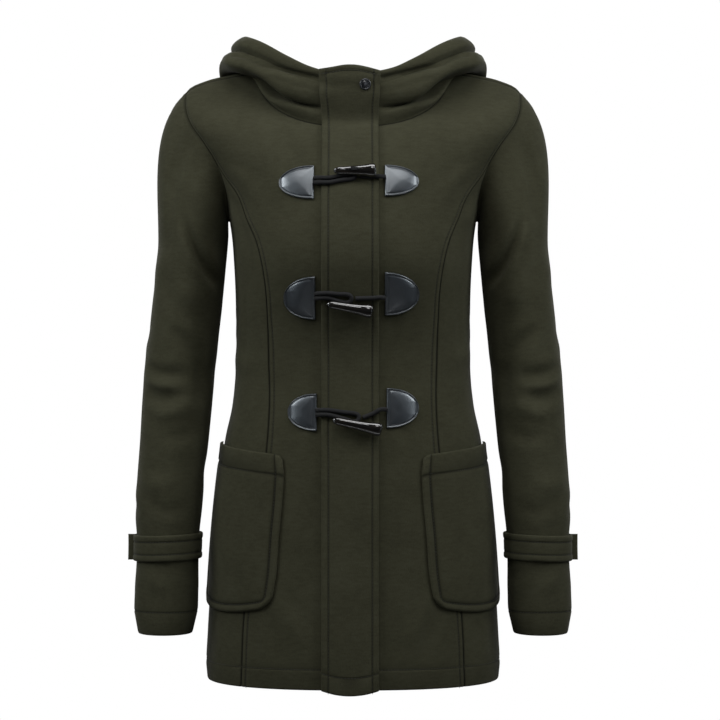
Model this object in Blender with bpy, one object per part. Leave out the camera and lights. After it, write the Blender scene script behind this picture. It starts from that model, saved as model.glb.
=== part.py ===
"""A hooded toggle coat, filled out as if worn, with nobody in it.

Sizes are in millimetres and become metres when a mesh is made. The origin is
between the tops of the shoulders, +Z is up, the front faces -Y and the
wearer's left is +X. A place on the body is given by its turn, in degrees from
the centre front towards +X, and by along, its distance up the cloth's rings.
"""

import math

import bpy
import numpy as np

MM = 0.001

# driving dimensions
WALL = 3.0
SEAM_GAP = 0.3
LAID_GAP = 0.3
PLACKET_EASE = 0.4
PATCH_EASE = 0.5
HOOD_CLEARANCE = 5.4
RIDGE_CLEARANCE = 11.0
SHOULDER_RIDGE_TURN = 118.0
PLACKET_WALL = 4.0
PLACKET_RIGHT = -36.8
PLACKET_LEFT = 30.6
PLACKET_DROP = 6.0
PLACKET_CREST = 8.0
CENTRE_FRONT = -3.0
ROUNDNESS = 2.35
BODY_TOP = 800.0
CHEST_LEVEL = 644.0
PATCH_WALL = 2.0
CORD_RADIUS = 2.3
CORD_SPREAD = 2.7
SNAP_RADIUS = 6.8
SNAP_HEIGHT = 2.4
SNAP_EASE = 0.9
SNAP_PLACE = (14.4, -8.5)

# the armhole is an egg-shaped loop drawn on the body
ARMHOLE_MIDDLE = 636.0
ARMHOLE_HALF_HEIGHT = 80.0
ARMHOLE_FRONT_TURN = 19.0
ARMHOLE_BACK_TURN = 18.0
ARMHOLE_SCOOP = 0.1
FOLD_RADIUS = 3.2

# numbers of faces
SKIRT_ROWS = 18
ARMHOLE_STEPS = 20
SHOULDER_ROWS = 3
FRONT_COLUMNS = 6
SIDE_COLUMNS = ARMHOLE_STEPS // 4
BACK_HALF_COLUMNS = 8
CAP_ROWS = 7
HOOD_LEVELS = (
    0.5, 1, 1.5, 2, 2.25, 2.5, 2.75, 3, 3.5, 4, 4.5, 5, 5.5, 6, 6.5, 7, 7.5, 8, 8.5, 9)

# along, height at the front, side and back, half width, front and back depth
BODY_RINGS = (
    (0, -722, -721, -724, 175.5, 135, 142),
    (22, -702, -702, -702, 177.0, 136, 143),
    (57, -667, -667, -667, 175.5, 135, 143),
    (108, -616, -616, -616, 172.5, 132, 142),
    (159, -565, -565, -565, 169.0, 129, 138),
    (210, -514, -514, -514, 164.5, 127, 132),
    (262, -462, -462, -462, 158.5, 124, 121),
    (296, -428, -428, -428, 153.5, 121, 108),
    (330, -394, -394, -394, 146.0, 118, 98),
    (364, -360, -360, -360, 142.0, 115, 92),
    (398, -326, -326, -326, 141.0, 115, 90),
    (432, -292, -292, -292, 141.0, 120, 92),
    (467, -257, -257, -257, 141.5, 130, 98),
    (509, -215, -215, -215, 143.5, 140, 106),
    (535, -189, -189, -189, 145.5, 139, 110),
    (559, -165, -165, -165, 149.0, 134, 113),
    (596, -135, -128, -130, 159.0, 126, 114),
    (634, -110, -90, -96, 177.0, 116, 111),
    (668, -91, -56, -66, 196.0, 107, 104),
    (696, -77, -27, -42, 207.0, 99, 95),
    (722, -68, -4, -24, 198.0, 93, 86),
    (740, -64, 4.5, -13, 179.0, 90, 80),
    (770, -61, 12.0, -6, 147.0, 87, 75),
    (800, -59, 18, 0, 115.0, 85, 70),
)

# along, distance of the princess seam from the centre plane
PRINCESS_SEAM = (
    (0, 131.5), (85, 128.0), (180, 115.5), (280, 101.6), (331, 98.3), (389, 98.5),
    (432, 100.2), (470, 101.3), (500, 105.0), (530, 112.8), (561, 126.3), (593, 139.1),
    (614, 152.0), (636, 163.0),
)

# turn, along, turn reach, along reach, slant in degrees per mm, height of the swell
BODY_FOLDS = (
    (33, 500, 17, 62, 0.00, 3.0), (-33, 500, 17, 62, 0.00, 3.0),
    (152, 372, 5, 95, 0.01, -3.5), (-153, 380, 5, 90, -0.01, -3.2),
    (128, 345, 22, 17, -0.35, 2.8), (-126, 352, 24, 15, 0.30, 2.6),
    (112, 395, 18, 13, -0.30, -2.4), (-110, 402, 17, 14, 0.32, -2.6),
    (68, 392, 15, 12, 0.35, 1.8), (-70, 386, 16, 12, -0.33, 2.0),
    (64, 560, 13, 15, 0.50, 1.8), (-63, 556, 13, 15, -0.48, 2.0),
    (145, 110, 9, 130, 0.02, 3.6), (-150, 95, 10, 120, -0.02, 3.2),
    (176, 60, 8, 110, 0.01, -3.0),
)

# height, inner and outer distance from the centre plane, front and back depth of the arm
SLEEVE_RINGS = (
    (-200, 154.5, 236.5, -62, 60),
    (-232, 157.5, 239.5, -62, 58),
    (-268, 161.0, 243.0, -61, 54),
    (-306, 165.0, 247.0, -61, 49),
    (-346, 168.5, 252.0, -63, 43),
    (-388, 172.5, 254.5, -66, 36),
    (-432, 176.5, 256.5, -70, 29),
    (-478, 181.0, 259.5, -74, 22),
    (-516, 184.0, 261.3, -77, 16),
    (-544, 187.0, 259.5, -77, 12),
    (-576, 188.0, 259.5, -78, 9),
    (-612, 188.0, 261.5, -80, 7),
    (-648, 190.5, 261.0, -80, 5),
    (-664, 195.5, 257.0, -77, 2),
)

# angle round the sleeve, height, angle reach, height reach, slant, height of the swell
SLEEVE_FOLDS = (
    (38, -196, 26, 15, 0.55, -4.2), (28, -226, 24, 15, 0.55, 3.2),
    (100, -258, 30, 16, -0.30, 2.6), (62, -372, 34, 12, -0.25, -2.8),
    (120, -392, 32, 13, 0.20, 2.4), (150, -350, 34, 14, 0.25, -2.2),
    (250, -372, 40, 13, 0.30, -2.8), (288, -402, 36, 14, -0.25, 2.4),
    (310, -240, 36, 18, -0.45, -2.6), (70, -484, 30, 13, 0.20, 2.0),
    (200, -470, 34, 15, -0.20, -2.0), (300, -505, 34, 14, 0.25, 2.2),
)

# turn, then the distance out from the neckline and the height of each hood station:
# stand, hollow, underside, lobe, lobe top, crease, rim face, rim and rim end
HOOD_PROFILES = (
    (0, 1, -45, 1, -37, 2, -30, 3, -23, 4, -16, 4, -9, 6, -2, 5, 5, -4, -1),
    (22, 1, -44, 0, -36, 2, -29, 5, -21, 5, -13, 4, -7, 6, 0, 6, 7, -4, 1),
    (45, 4, -36, -4, -28, 6, -21, 15, -11, 12, 2, 6, 9, 10, 16, 8, 25, -3, 18),
    (70, 6, -6, 8, 3, 20, 8, 36, 17, 29, 30, 20, 33, 23, 42, 14, 50, 4, 41),
    (90, 8, 26, 18, 23, 34, 17, 46, 24, 38, 37, 27, 38, 31, 48, 18, 57, 6, 47),
    (110, 8, 18, 22, 13, 44, 3, 59, -2, 58, 26, 46, 33, 45, 44, 32, 54, 20, 44),
    (130, 8, 14, 26, 4, 62, -94, 80, -90, 86, -48, 80, -6, 68, 22, 54, 38, 42, 30),
    (155, 7, 14, 22, 8, 60, -144, 80, -142, 90, -84, 84, -28, 72, 12, 59, 31, 48, 23),
    (180, 6, 13, 20, 9, 57, -168, 78, -167, 91, -100, 85, -38, 73, 8, 61, 27, 50, 19),
)

# angle through which the hood's cloth turns at the neck seam
NECK_FOLD = ((0, 48), (22, 50), (45, 70), (70, 105), (90, 135), (130, 130), (180, 115))

# along and distance from the centre plane of the pocket's inner edge, bottom first
POCKET_INNER = ((99, 95.0), (134, 89.0), (182, 85.5), (229, 81.3), (262, 80.0), (276, 81.0))
POCKET_OUTER_TURN = 88.6
POCKET_LOW, POCKET_HIGH = 101.0, 292.0
POCKET_BELLY = 2.4
POCKET_COLUMNS, POCKET_ROWS = 7, 8

# heights of the cords at the wearer's right and left patch, the height and half
# height of the loop round the toggle, and the thin and thick end of the horn, as
# distance from the centre plane and height
TOGGLE_SETS = (
    dict(cord_right=-126.5, cord_left=-122.5, bend=(-122.0, 2.7),
         thin=(-22.0, -118.0), thick=(27.0, -118.5),
         patch_right=(-45.2, -85.7, -107.8, -147.7), patch_left=(37.2, 76.8, -107.2, -144.6)),
    dict(cord_right=-259.0, cord_left=-261.0, bend=(-262.5, 4.5),
         thin=(-29.0, -267.5), thick=(23.0, -276.0),
         patch_right=(-43.2, -78.9, -236.9, -287.1), patch_left=(37.0, 75.8, -232.1, -282.3)),
    dict(cord_right=-397.5, cord_left=-394.0, bend=(-403.5, 4.7),
         thin=(-22.9, -407.0), thick=(34.0, -419.0),
         patch_right=(-42.0, -75.4, -375.3, -419.5), patch_left=(39.4, 76.5, -368.8, -416.0)),
)
HORN_PROFILE = ((0.0, 2.0), (0.03, 3.0), (0.3, 5.0), (0.5, 5.6), (0.7, 6.6), (0.97, 7.8), (1.0, 7.2))
HORN_FLATNESS = 0.72
HORN_SIDES = 12

STRAP_HEIGHT = 31.0
STRAP_MIDDLE = -560.0
STRAP_TAB = 9.0
STRAP_OFFSET = 3.4

COLOURS = dict(
    cloth=((0.040, 0.042, 0.027), 0.95),
    leather=((0.012, 0.014, 0.018), 0.28), horn=((0.010, 0.008, 0.007), 0.16),
    cord=((0.007, 0.007, 0.008), 0.8), metal=((0.012, 0.013, 0.014), 0.3),
)


def clear_scene():
    """Remove every object that the file holds."""
    for item in list(bpy.data.objects):
        bpy.data.objects.remove(item, do_unlink=True)


def material(name):
    """The Principled material of that name, made once."""
    found = bpy.data.materials.get(name)
    if found:
        return found
    colour, roughness = COLOURS[name]
    made = bpy.data.materials.new(name)
    made.use_nodes = True
    shader = made.node_tree.nodes["Principled BSDF"]
    shader.inputs["Base Color"].default_value = (*colour, 1.0)
    shader.inputs["Roughness"].default_value = roughness
    shader.inputs["Metallic"].default_value = 0.6 if name == "metal" else 0.0
    return made


def smooth_columns(rows, level):
    """The columns after a table's first, read at the levels along smooth cubics."""
    table = np.array(rows, dtype=float)
    knots, values = table[:, 0], table[:, 1:]
    slopes = np.gradient(values, knots, axis=0)
    level = np.clip(np.asarray(level, dtype=float), knots[0], knots[-1])
    index = np.clip(np.searchsorted(knots, level, side="right") - 1, 0, len(knots) - 2)
    span = (knots[index + 1] - knots[index])[..., None]
    share = (level - knots[index])[..., None] / span
    result = (2 * share**3 - 3 * share**2 + 1) * values[index]
    result += (share**3 - 2 * share**2 + share) * span * slopes[index]
    result += (3 * share**2 - 2 * share**3) * values[index + 1]
    result += (share**3 - share**2) * span * slopes[index + 1]
    return np.moveaxis(result, -1, 0)


def unit(vectors):
    """The vectors at length one."""
    return vectors / np.maximum(np.linalg.norm(vectors, axis=-1, keepdims=True), 1e-9)


def angle_between(turn, middle):
    """The signed difference of two turns, within half a circle."""
    return (turn - middle + 180.0) % 360.0 - 180.0


def swell(rows, turn, level):
    """The summed height of a table of slanted, soft-edged swells."""
    height = np.zeros(np.broadcast(turn, level).shape)
    for middle, centre, reach, span, slant, rise in rows:
        across = angle_between(turn - slant * (level - centre), middle) / reach
        height += rise * np.exp(-across**2 - ((level - centre) / span) ** 2)
    return height


def body_base(turn, along):
    """Points of the body before its folds."""
    front, side, back, half_width, front_depth, back_depth = smooth_columns(BODY_RINGS, along)
    sine, cosine = np.sin(np.radians(turn)), np.cos(np.radians(turn))
    depth = np.where(cosine > 0, front_depth, back_depth)
    reach = (np.abs(sine) / half_width) ** ROUNDNESS + (np.abs(cosine) / depth) ** ROUNDNESS
    radius = reach ** (-1.0 / ROUNDNESS)
    share = radius * np.abs(cosine) / depth
    height = side + (np.where(cosine > 0, front, back) - side) * share
    return np.stack([radius * sine, -radius * cosine, height], axis=-1)


def surface_normal(surface, turn, along):
    """Outward normals of a surface of turn and along."""
    by_turn = surface(turn + 0.2, along) - surface(turn - 0.2, along)
    upper = np.minimum(along + 0.4, BODY_TOP)
    by_along = surface(turn, upper) - surface(turn, np.maximum(upper - 0.8, 0.0))
    return unit(np.cross(by_turn, by_along))


def body(turn, along):
    """Points of the middle of the body's cloth."""
    lift = swell(BODY_FOLDS, turn, along)[..., None]
    return body_base(turn, along) + surface_normal(body_base, turn, along) * lift


def body_normal(turn, along):
    """Outward normals of the body's cloth."""
    return surface_normal(body, turn, along)


def turn_at(distance, along):
    """The turn at which a front ring lies that far from the centre plane."""
    _, _, _, half_width, front_depth, _ = smooth_columns(BODY_RINGS, along)
    share = np.clip(np.abs(distance) / half_width, 0.0, 1.0)
    depth = front_depth * (1.0 - share**ROUNDNESS) ** (1.0 / ROUNDNESS)
    return np.degrees(np.arctan2(distance, depth))


def front_place(distance, height):
    """The turn and along of a front point, from its distance and height."""
    along = np.clip(height + 724.0, 0.0, BODY_TOP) + 0.0 * distance
    for _ in range(12):
        low = np.clip(along - 2.0, 0.0, BODY_TOP - 4.0)
        turn = turn_at(distance, along)
        slope = (body_base(turn, low + 4.0) - body_base(turn, low))[..., 2] / 4.0
        miss = height - body_base(turn, along)[..., 2]
        along = np.clip(along + miss / np.maximum(slope, 0.2), 0.0, BODY_TOP)
    return turn_at(distance, along), along


def on_front(distance, height, lift):
    """Front points lifted off the middle of the cloth."""
    turn, along = front_place(distance, height)
    return body(turn, along) + body_normal(turn, along) * np.asarray(lift)[..., None]


def armhole(angle):
    """Turn and along round the armhole: 0 is its top, 90 its front and 180 its foot."""
    rise, run = np.cos(np.radians(angle)), np.sin(np.radians(angle))
    reach = np.where(run > 0, ARMHOLE_FRONT_TURN, ARMHOLE_BACK_TURN)
    return 90.0 - reach * run * (1 - ARMHOLE_SCOOP * rise), ARMHOLE_MIDDLE + ARMHOLE_HALF_HEIGHT * rise


def coons(left, right, bottom, top):
    """A patch of turn and along between four edges, rows first."""
    rows, columns = len(left), len(bottom)
    v = np.linspace(0, 1, rows)[:, None, None]
    u = np.linspace(0, 1, columns)[None, :, None]
    left, right = left[:, None, :], right[:, None, :]
    bottom, top = bottom[None, :, :], top[None, :, :]
    corners = (1 - u) * (1 - v) * bottom[:, :1] + u * (1 - v) * bottom[:, -1:]
    corners = corners + (1 - u) * v * top[:, :1] + u * v * top[:, -1:]
    return (1 - u) * left + u * right + (1 - v) * bottom + v * top - corners


def pairs(turn, along):
    """Turn and along as one array of places."""
    turn, along = np.broadcast_arrays(np.asarray(turn, float), np.asarray(along, float))
    return np.stack([turn, along], axis=-1)


def draw_in(points, edges, distance):
    """Move the named edges of a grid into it by a distance, for a seam's gap."""
    moved = points.copy()
    takes = {"bottom": (0, 1), "top": (-1, -2)}
    for edge in edges:
        grid = moved.transpose(1, 0, 2) if edge in ("left", "right") else moved
        first, second = takes["bottom" if edge in ("bottom", "left") else "top"]
        along_edge = unit(np.gradient(grid[first], axis=0))
        inward = grid[second] - grid[first]
        inward = inward - along_edge * np.sum(inward * along_edge, axis=-1, keepdims=True)
        grid[first] += unit(inward) * distance
    return moved


def grid_normals(points, closed=False):
    """Normals of a grid of points, rows first, from its own neighbours."""
    if closed:
        by_column = np.roll(points, -1, axis=1) - np.roll(points, 1, axis=1)
    else:
        by_column = np.gradient(points, axis=1)
    return unit(np.cross(by_column, np.gradient(points, axis=0)))


def wall_object(name, points, normals, wall, colour, closed=False):
    """A closed wall of cloth about a grid of middle points."""
    rows, columns = points.shape[:2]
    outer = (points + normals * wall / 2).reshape(-1, 3)
    inner = (points - normals * wall / 2).reshape(-1, 3)
    vertices = np.concatenate([outer, inner])
    other = rows * columns
    faces = []
    spans = columns if closed else columns - 1
    for row in range(rows - 1):
        for column in range(spans):
            after = (column + 1) % columns
            a, b = row * columns + column, row * columns + after
            c, d = a + columns, b + columns
            faces += [(a, b, d), (a, d, c)]
            faces += [(a + other, c + other, d + other), (a + other, d + other, b + other)]
    heights = points[..., 2].reshape(-1)
    for column in range(spans):
        after = (column + 1) % columns
        last = (rows - 1) * columns
        faces += rim_faces(after, column, other, heights)
        faces += rim_faces(last + column, last + after, other, heights)
    if not closed:
        for row in range(rows - 1):
            a, c = row * columns, (row + 1) * columns
            faces += rim_faces(a, c, other, heights)
            faces += rim_faces(c + columns - 1, a + columns - 1, other, heights)
    return mesh_object(name, vertices, faces, colour)


def rim_faces(a, b, other, heights):
    """Two triangles across a wall's rim, split the same way on both sides of a seam."""
    if heights[a] <= heights[b]:
        return [(a, b, b + other), (a, b + other, a + other)]
    return [(a, b, a + other), (b, b + other, a + other)]


def mesh_object(name, vertices, faces, colour):
    """An object from points in millimetres, its faces turned outwards."""
    volume = 0.0
    for face in faces:
        for index in range(1, len(face) - 1):
            a, b, c = (vertices[face[0]], vertices[face[index]], vertices[face[index + 1]])
            volume += float(np.dot(a, np.cross(b, c)))
    if volume < 0:
        faces = [tuple(reversed(face)) for face in faces]
    mesh = bpy.data.meshes.new(name)
    mesh.from_pydata([tuple(point * MM) for point in vertices], [], faces)
    mesh.shade_smooth()
    mesh.set_sharp_from_angle(angle=math.radians(50))
    mesh.materials.append(material(colour))
    made = bpy.data.objects.new(name, mesh)
    bpy.context.scene.collection.objects.link(made)
    return made


def panel(name, places, side, edges):
    """A body panel from its places, mirrored for the wearer's right side."""
    turn, along = places[..., 0] * side, places[..., 1]
    points = draw_in(body(turn, along), edges, SEAM_GAP / 2)
    return wall_object(name, points, body_normal(turn, along), WALL, "cloth")


def princess_places(rows):
    """Places up the princess seam, from the hem to the armhole."""
    along = np.linspace(0, ARMHOLE_MIDDLE, rows)
    (distance,) = smooth_columns(PRINCESS_SEAM, along)
    turn = turn_at(distance, along)
    turn[-1], along[-1] = armhole(90.0)
    return pairs(turn, along)


def shoulder_places():
    """Places along the shoulder seam, from the armhole's top to the neckline."""
    first = ARMHOLE_MIDDLE + ARMHOLE_HALF_HEIGHT
    return pairs(90.0, np.linspace(first, BODY_TOP, SHOULDER_ROWS + 1))


def armhole_places(first, last):
    """Places round the armhole between two angles."""
    steps = int(round(abs(last - first) / 360.0 * ARMHOLE_STEPS))
    return pairs(*armhole(np.linspace(first, last, steps + 1)))


def centre_levels():
    """The rows' levels up the centre front, from the hem to the neckline."""
    upper = ARMHOLE_STEPS // 4 + SHOULDER_ROWS
    skirt = np.linspace(0, CHEST_LEVEL, SKIRT_ROWS + 1)
    return np.concatenate([skirt, np.linspace(CHEST_LEVEL, BODY_TOP, upper + 1)[1:]])


def front_panel(side, name):
    """A front, from the centre edge to the princess seam, armhole and shoulder."""
    right = np.concatenate([
        princess_places(SKIRT_ROWS + 1), armhole_places(90, 0)[1:], shoulder_places()[1:]])
    along = centre_levels()
    left = pairs(turn_at(CENTRE_FRONT * side, along), along)
    hem = pairs(np.linspace(left[0, 0], right[0, 0], FRONT_COLUMNS + 1), 0.0)
    neck = pairs(np.linspace(left[-1, 0], right[-1, 0], FRONT_COLUMNS + 1), BODY_TOP)
    return panel(name, coons(left, right, hem, neck), side, ("left", "right", "top"))


def side_panel(side, name):
    """A side front, from the princess seam to the side seam under the arm."""
    left = princess_places(SKIRT_ROWS + 1)
    top = armhole_places(90, 180)
    right = pairs(90.0, np.linspace(0, top[-1, 1], SKIRT_ROWS + 1))
    hem = pairs(np.linspace(left[0, 0], 90.0, SIDE_COLUMNS + 1), 0.0)
    return panel(name, coons(left, right, hem, top), side, ("left", "right", "top"))


def back_panel():
    """The back in one piece, with both side seams, armholes and shoulders."""
    foot = ARMHOLE_MIDDLE - ARMHOLE_HALF_HEIGHT
    left = np.concatenate([
        pairs(90.0, np.linspace(0, foot, SKIRT_ROWS + 1)), armhole_places(180, 360)[1:],
        shoulder_places()[1:]])
    upper_rows = len(left) - SKIRT_ROWS
    along = np.concatenate([
        np.linspace(0, foot, SKIRT_ROWS + 1), np.linspace(foot, BODY_TOP, upper_rows)[1:]])
    right = pairs(180.0, along)
    spread = np.linspace(90.0, 180.0, BACK_HALF_COLUMNS + 1)
    half = coons(left, right, pairs(spread, 0.0), pairs(spread, BODY_TOP))
    mirrored = half[:, -2::-1].copy()
    mirrored[..., 0] = 360.0 - mirrored[..., 0]
    places = np.concatenate([half, mirrored], axis=1)
    return panel("back", places, 1, ("left", "right", "top"))


def rolled_rows(edge, inward, normal, angle, radius, steps):
    """Rows of points and normals that carry an edge on through a small arc."""
    rows, normals = [], []
    for step in range(steps + 1):
        bend = np.radians(angle * step / steps)[:, None]
        rows.append(edge + radius * (inward * np.sin(bend) + normal * (1 - np.cos(bend))))
        normals.append(normal * np.cos(bend) - inward * np.sin(bend))
    return rows, normals


def armhole_frame(angle):
    """Edge points, directions into the hole and normals, on the wearer's left side."""
    turn, along = armhole(angle)
    normal = body_normal(turn, along)
    ahead = body(*armhole(angle + 0.5)) - body(*armhole(angle - 0.5))
    inward = unit(np.cross(ahead, normal))
    middle = body(*armhole(np.array([0.0, 180.0]))).mean(axis=0)
    edge = body(turn, along)
    facing = np.sign(np.sum((middle - edge) * inward, axis=-1, keepdims=True))
    return edge, inward * facing, normal


def arm_ring(angle, height):
    """Points round the arm at a height, the outer side at angle 0, the front at 90."""
    inner, outer, front, back = smooth_columns(
        [(-row[0], *row[1:]) for row in SLEEVE_RINGS], -np.asarray(height, float))
    x = (inner + outer) / 2 + (outer - inner) / 2 * np.cos(np.radians(angle))
    y = (front + back) / 2 + (front - back) / 2 * np.sin(np.radians(angle))
    return np.stack([x, y, height + 0.0 * x], axis=-1)


def sleeve_grid():
    """Middle points and normals of the wearer's left sleeve, armhole first."""
    angle = np.arange(ARMHOLE_STEPS) * 360.0 / ARMHOLE_STEPS
    edge, inward, normal = armhole_frame(angle)
    edge = edge + inward * SEAM_GAP / 2
    low = np.sin(np.radians(angle / 2)) ** 2
    bend = 8.0 + 172.0 * low**1.5
    rows, normals = rolled_rows(edge, inward, normal, bend, FOLD_RADIUS, 3)
    bend = np.radians(bend)[:, None]
    start, heading = rows[-1], inward * np.cos(bend) + normal * np.sin(bend)
    top = SLEEVE_RINGS[0][0]
    end = arm_ring(angle, np.full(ARMHOLE_STEPS, float(top)))
    leave = (206.0 - 174.0 * low**0.8)[:, None] * heading
    arrive = (160.0 - 125.0 * low**0.8)[:, None] * np.array([0.07, 0.0, -1.0])
    for step in range(1, CAP_ROWS):
        t = step / CAP_ROWS
        row = (2 * t**3 - 3 * t**2 + 1) * start + (t**3 - 2 * t**2 + t) * leave
        rows.append(row + (3 * t**2 - 2 * t**3) * end + (t**3 - t**2) * arrive)
    for height in [row[0] for row in SLEEVE_RINGS]:
        rows.append(arm_ring(angle, np.full(ARMHOLE_STEPS, float(height))))
    points = np.stack(rows)
    facing = grid_normals(points, closed=True)
    outward = points - points.mean(axis=1, keepdims=True)
    facing *= np.sign(np.sum(facing[-3] * outward[-3]))
    fade = np.clip((np.arange(len(rows)) - 4) / 3.0, 0, 1)[:, None]
    lift = swell(SLEEVE_FOLDS, angle[None, :], points[..., 2]) * fade
    points = points + facing * lift[..., None]
    facing_again = grid_normals(points, closed=True)
    facing_again *= np.sign(np.sum(facing_again[-3] * outward[-3]))
    facing_again[: len(normals)] = np.stack(normals)
    return points, facing_again


def sleeve(side, name):
    """A sleeve in one tube."""
    points, normals = sleeve_grid()
    flip = np.array([side, 1, 1])
    return wall_object(name, points * flip, normals * flip, WALL, "cloth", closed=True)


def hood_point(turn, station):
    """Points of the hood past its neck fold: station runs from 1 to 9."""
    profile = smooth_columns(HOOD_PROFILES, np.abs(angle_between(turn, 0.0)))
    outs, heights = profile[0::2], profile[1::2]
    neck = body(turn, np.full(np.shape(turn), BODY_TOP))
    (fold,) = smooth_columns(NECK_FOLD, np.abs(angle_between(turn, 0.0)))
    rows, _ = hood_fold(turn, fold)
    radius = np.hypot(neck[..., 0], neck[..., 1])
    start = np.stack([np.hypot(rows[-1][..., 0], rows[-1][..., 1]) - radius, rows[-1][..., 2]])
    knots = np.concatenate([start[None], np.stack([outs, heights], axis=1)])
    slopes = np.gradient(knots, axis=0)
    index = np.clip(int(math.floor(station)), 0, len(knots) - 2)
    t = station - index
    value = (2 * t**3 - 3 * t**2 + 1) * knots[index] + (t**3 - 2 * t**2 + t) * slopes[index]
    value = value + (3 * t**2 - 2 * t**3) * knots[index + 1]
    value = value + (t**3 - t**2) * slopes[index + 1]
    reach = radius + value[0]
    sine, cosine = np.sin(np.radians(turn)), np.cos(np.radians(turn))
    return np.stack([reach * sine, -reach * cosine, value[1]], axis=-1)


def hood_fold(turn, fold):
    """The hood's first rows, which roll out of the neck seam."""
    along = np.full(np.shape(turn), BODY_TOP)
    edge, normal = body(turn, along), body_normal(turn, along)
    ahead = unit(body(turn + 0.3, along) - body(turn - 0.3, along))
    inward = unit(np.cross(normal, ahead))
    below = body(turn, along - 1.0)
    facing = np.sign(np.sum((edge - below) * inward, axis=-1, keepdims=True))
    edge = edge + inward * facing * SEAM_GAP / 2
    return rolled_rows(edge, inward * facing, normal, fold, FOLD_RADIUS, 3)


def hood_turns(side):
    """Turns across one half of the hood, at the columns of the panels below it."""
    first = float(turn_at(CENTRE_FRONT * side, BODY_TOP))
    front = np.linspace(first, 90.0, FRONT_COLUMNS + 1)
    back = np.linspace(90.0, 180.0, BACK_HALF_COLUMNS + 1)
    return np.concatenate([front, back[1:]]) * side


def clear_of_body(points, turns):
    """Hood points pushed out until they clear the body, further at the shoulders' ridge."""
    ridge = np.exp(-(((np.abs(turns) - SHOULDER_RIDGE_TURN) / 9.0) ** 2))
    distances = np.broadcast_to(HOOD_CLEARANCE + RIDGE_CLEARANCE * ridge, points.shape[:2])
    turn, along = np.meshgrid(np.arange(0.0, 360.0, 3.0), np.linspace(560.0, BODY_TOP, 61))
    places = body(turn, along).reshape(-1, 3)
    normals = body_normal(turn, along).reshape(-1, 3)
    moved = points.reshape(-1, 3).copy()
    for index, (point, distance) in enumerate(zip(moved, distances.reshape(-1))):
        nearest = int(np.argmin(np.sum((places - point) ** 2, axis=1)))
        short = distance - float(np.dot(point - places[nearest], normals[nearest]))
        if short > 0:
            moved[index] = point + normals[nearest] * short
    return moved.reshape(points.shape)


def hood_half(side, name):
    """One half of the hood, from the front edge to the seam down its back."""
    turn = hood_turns(side)
    (fold,) = smooth_columns(NECK_FOLD, np.abs(angle_between(turn, 0.0)))
    rows, normals = hood_fold(turn, fold)
    hanging = np.stack([hood_point(turn, level) for level in HOOD_LEVELS])
    hanging = clear_of_body(hanging, turn)
    points = np.concatenate([np.stack(rows), hanging])
    facing = grid_normals(points)
    facing *= np.sign(np.sum(facing[5] * np.stack(normals)[-1]))
    facing[: len(normals)] = np.stack(normals)
    for column in (0, -1):
        facing[:, column, 0] = 0.0
    facing = unit(facing)
    points = draw_in(points, ("left", "right"), SEAM_GAP / 2)
    return wall_object(name, points, facing, WALL, "cloth")


def placket():
    """Middle points and normals of the strip that covers the fronts' edges."""
    lift = WALL / 2 + LAID_GAP + PLACKET_EASE + PLACKET_WALL / 2
    across = np.linspace(PLACKET_RIGHT, PLACKET_LEFT, 6)
    rows = []
    for level in centre_levels()[:-1]:
        along = np.full(across.shape, level)
        turn = turn_at(across, along)
        row = body(turn, along)
        rows.append(row + unit(body_normal(turn, along) * np.array([0.0, 1.0, 1.0])) * lift)
    for station in (3.0, 4.0, 5.0, 6.0, 7.0, 8.0):
        row = hood_point(np.degrees(np.arcsin(across / 89.0)), station)
        rows.append(row - np.array([0.0, lift + 0.4, 0.0]))
    middle, half = (PLACKET_RIGHT + PLACKET_LEFT) / 2, (PLACKET_LEFT - PLACKET_RIGHT) / 2
    bow = 1.0 - ((across - middle) / half) ** 2
    rows[0] = rows[0] - np.outer(PLACKET_DROP * bow, [0.0, 0.0, 1.0])
    rows.append(rows[-1] + np.outer(1.5 + PLACKET_CREST * bow, [0.0, -0.05, 1.0]))
    points = np.stack(rows)
    facing = grid_normals(points)
    facing *= -np.sign(np.sum(facing[..., 1]))
    return points, facing


def placket_object():
    """The placket's solid."""
    points, facing = placket()
    return wall_object("placket", points, facing, PLACKET_WALL, "cloth")


def over_placket(distance, height, lift):
    """A point lifted off the placket's middle, on its own depth at that height."""
    points, _ = placket()

    def depth(x, z):
        columns = points.transpose(1, 0, 2)
        line = [np.interp(z, column[:, 2], column[:, 1]) for column in columns]
        return float(np.interp(x, columns[:, 0, 0], line))

    by_x = (depth(distance + 6.0, height) - depth(distance - 6.0, height)) / 12.0
    by_z = (depth(distance, height + 6.0) - depth(distance, height - 6.0)) / 12.0
    normal = unit(np.array([by_x, -1.0, by_z]))
    return np.array([distance, depth(distance, height), height]) + normal * lift


def pocket(side, name):
    """A patch pocket across the princess seam, standing a little off the body."""
    rows, columns = POCKET_ROWS + 1, POCKET_COLUMNS + 1
    along = np.linspace(POCKET_INNER[0][0], POCKET_INNER[-1][0], rows)
    (distance,) = smooth_columns(POCKET_INNER, along)
    left = pairs(turn_at(distance, along), along)
    right = pairs(POCKET_OUTER_TURN, np.linspace(POCKET_LOW, POCKET_HIGH, rows))
    spread = np.linspace(0, 1, columns)
    bottom = left[0] + (right[0] - left[0]) * spread[:, None]
    bottom[:, 1] -= 11.0 * np.sin(math.pi * spread) ** 0.8
    top = left[-1] + (right[-1] - left[-1]) * spread[:, None]
    places = coons(left, right, bottom, top)
    turn, level = places[..., 0] * side, places[..., 1]
    u, v = np.meshgrid(spread, np.linspace(0, 1, rows))
    belly = POCKET_BELLY * np.clip(4 * u * (1 - u), 0, 1) * np.clip(3 * v, 0, 1)
    lift = WALL + LAID_GAP + 0.25 + belly
    normal = body_normal(turn, level)
    return wall_object(name, body(turn, level) + normal * lift[..., None], normal, WALL, "cloth")


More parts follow.
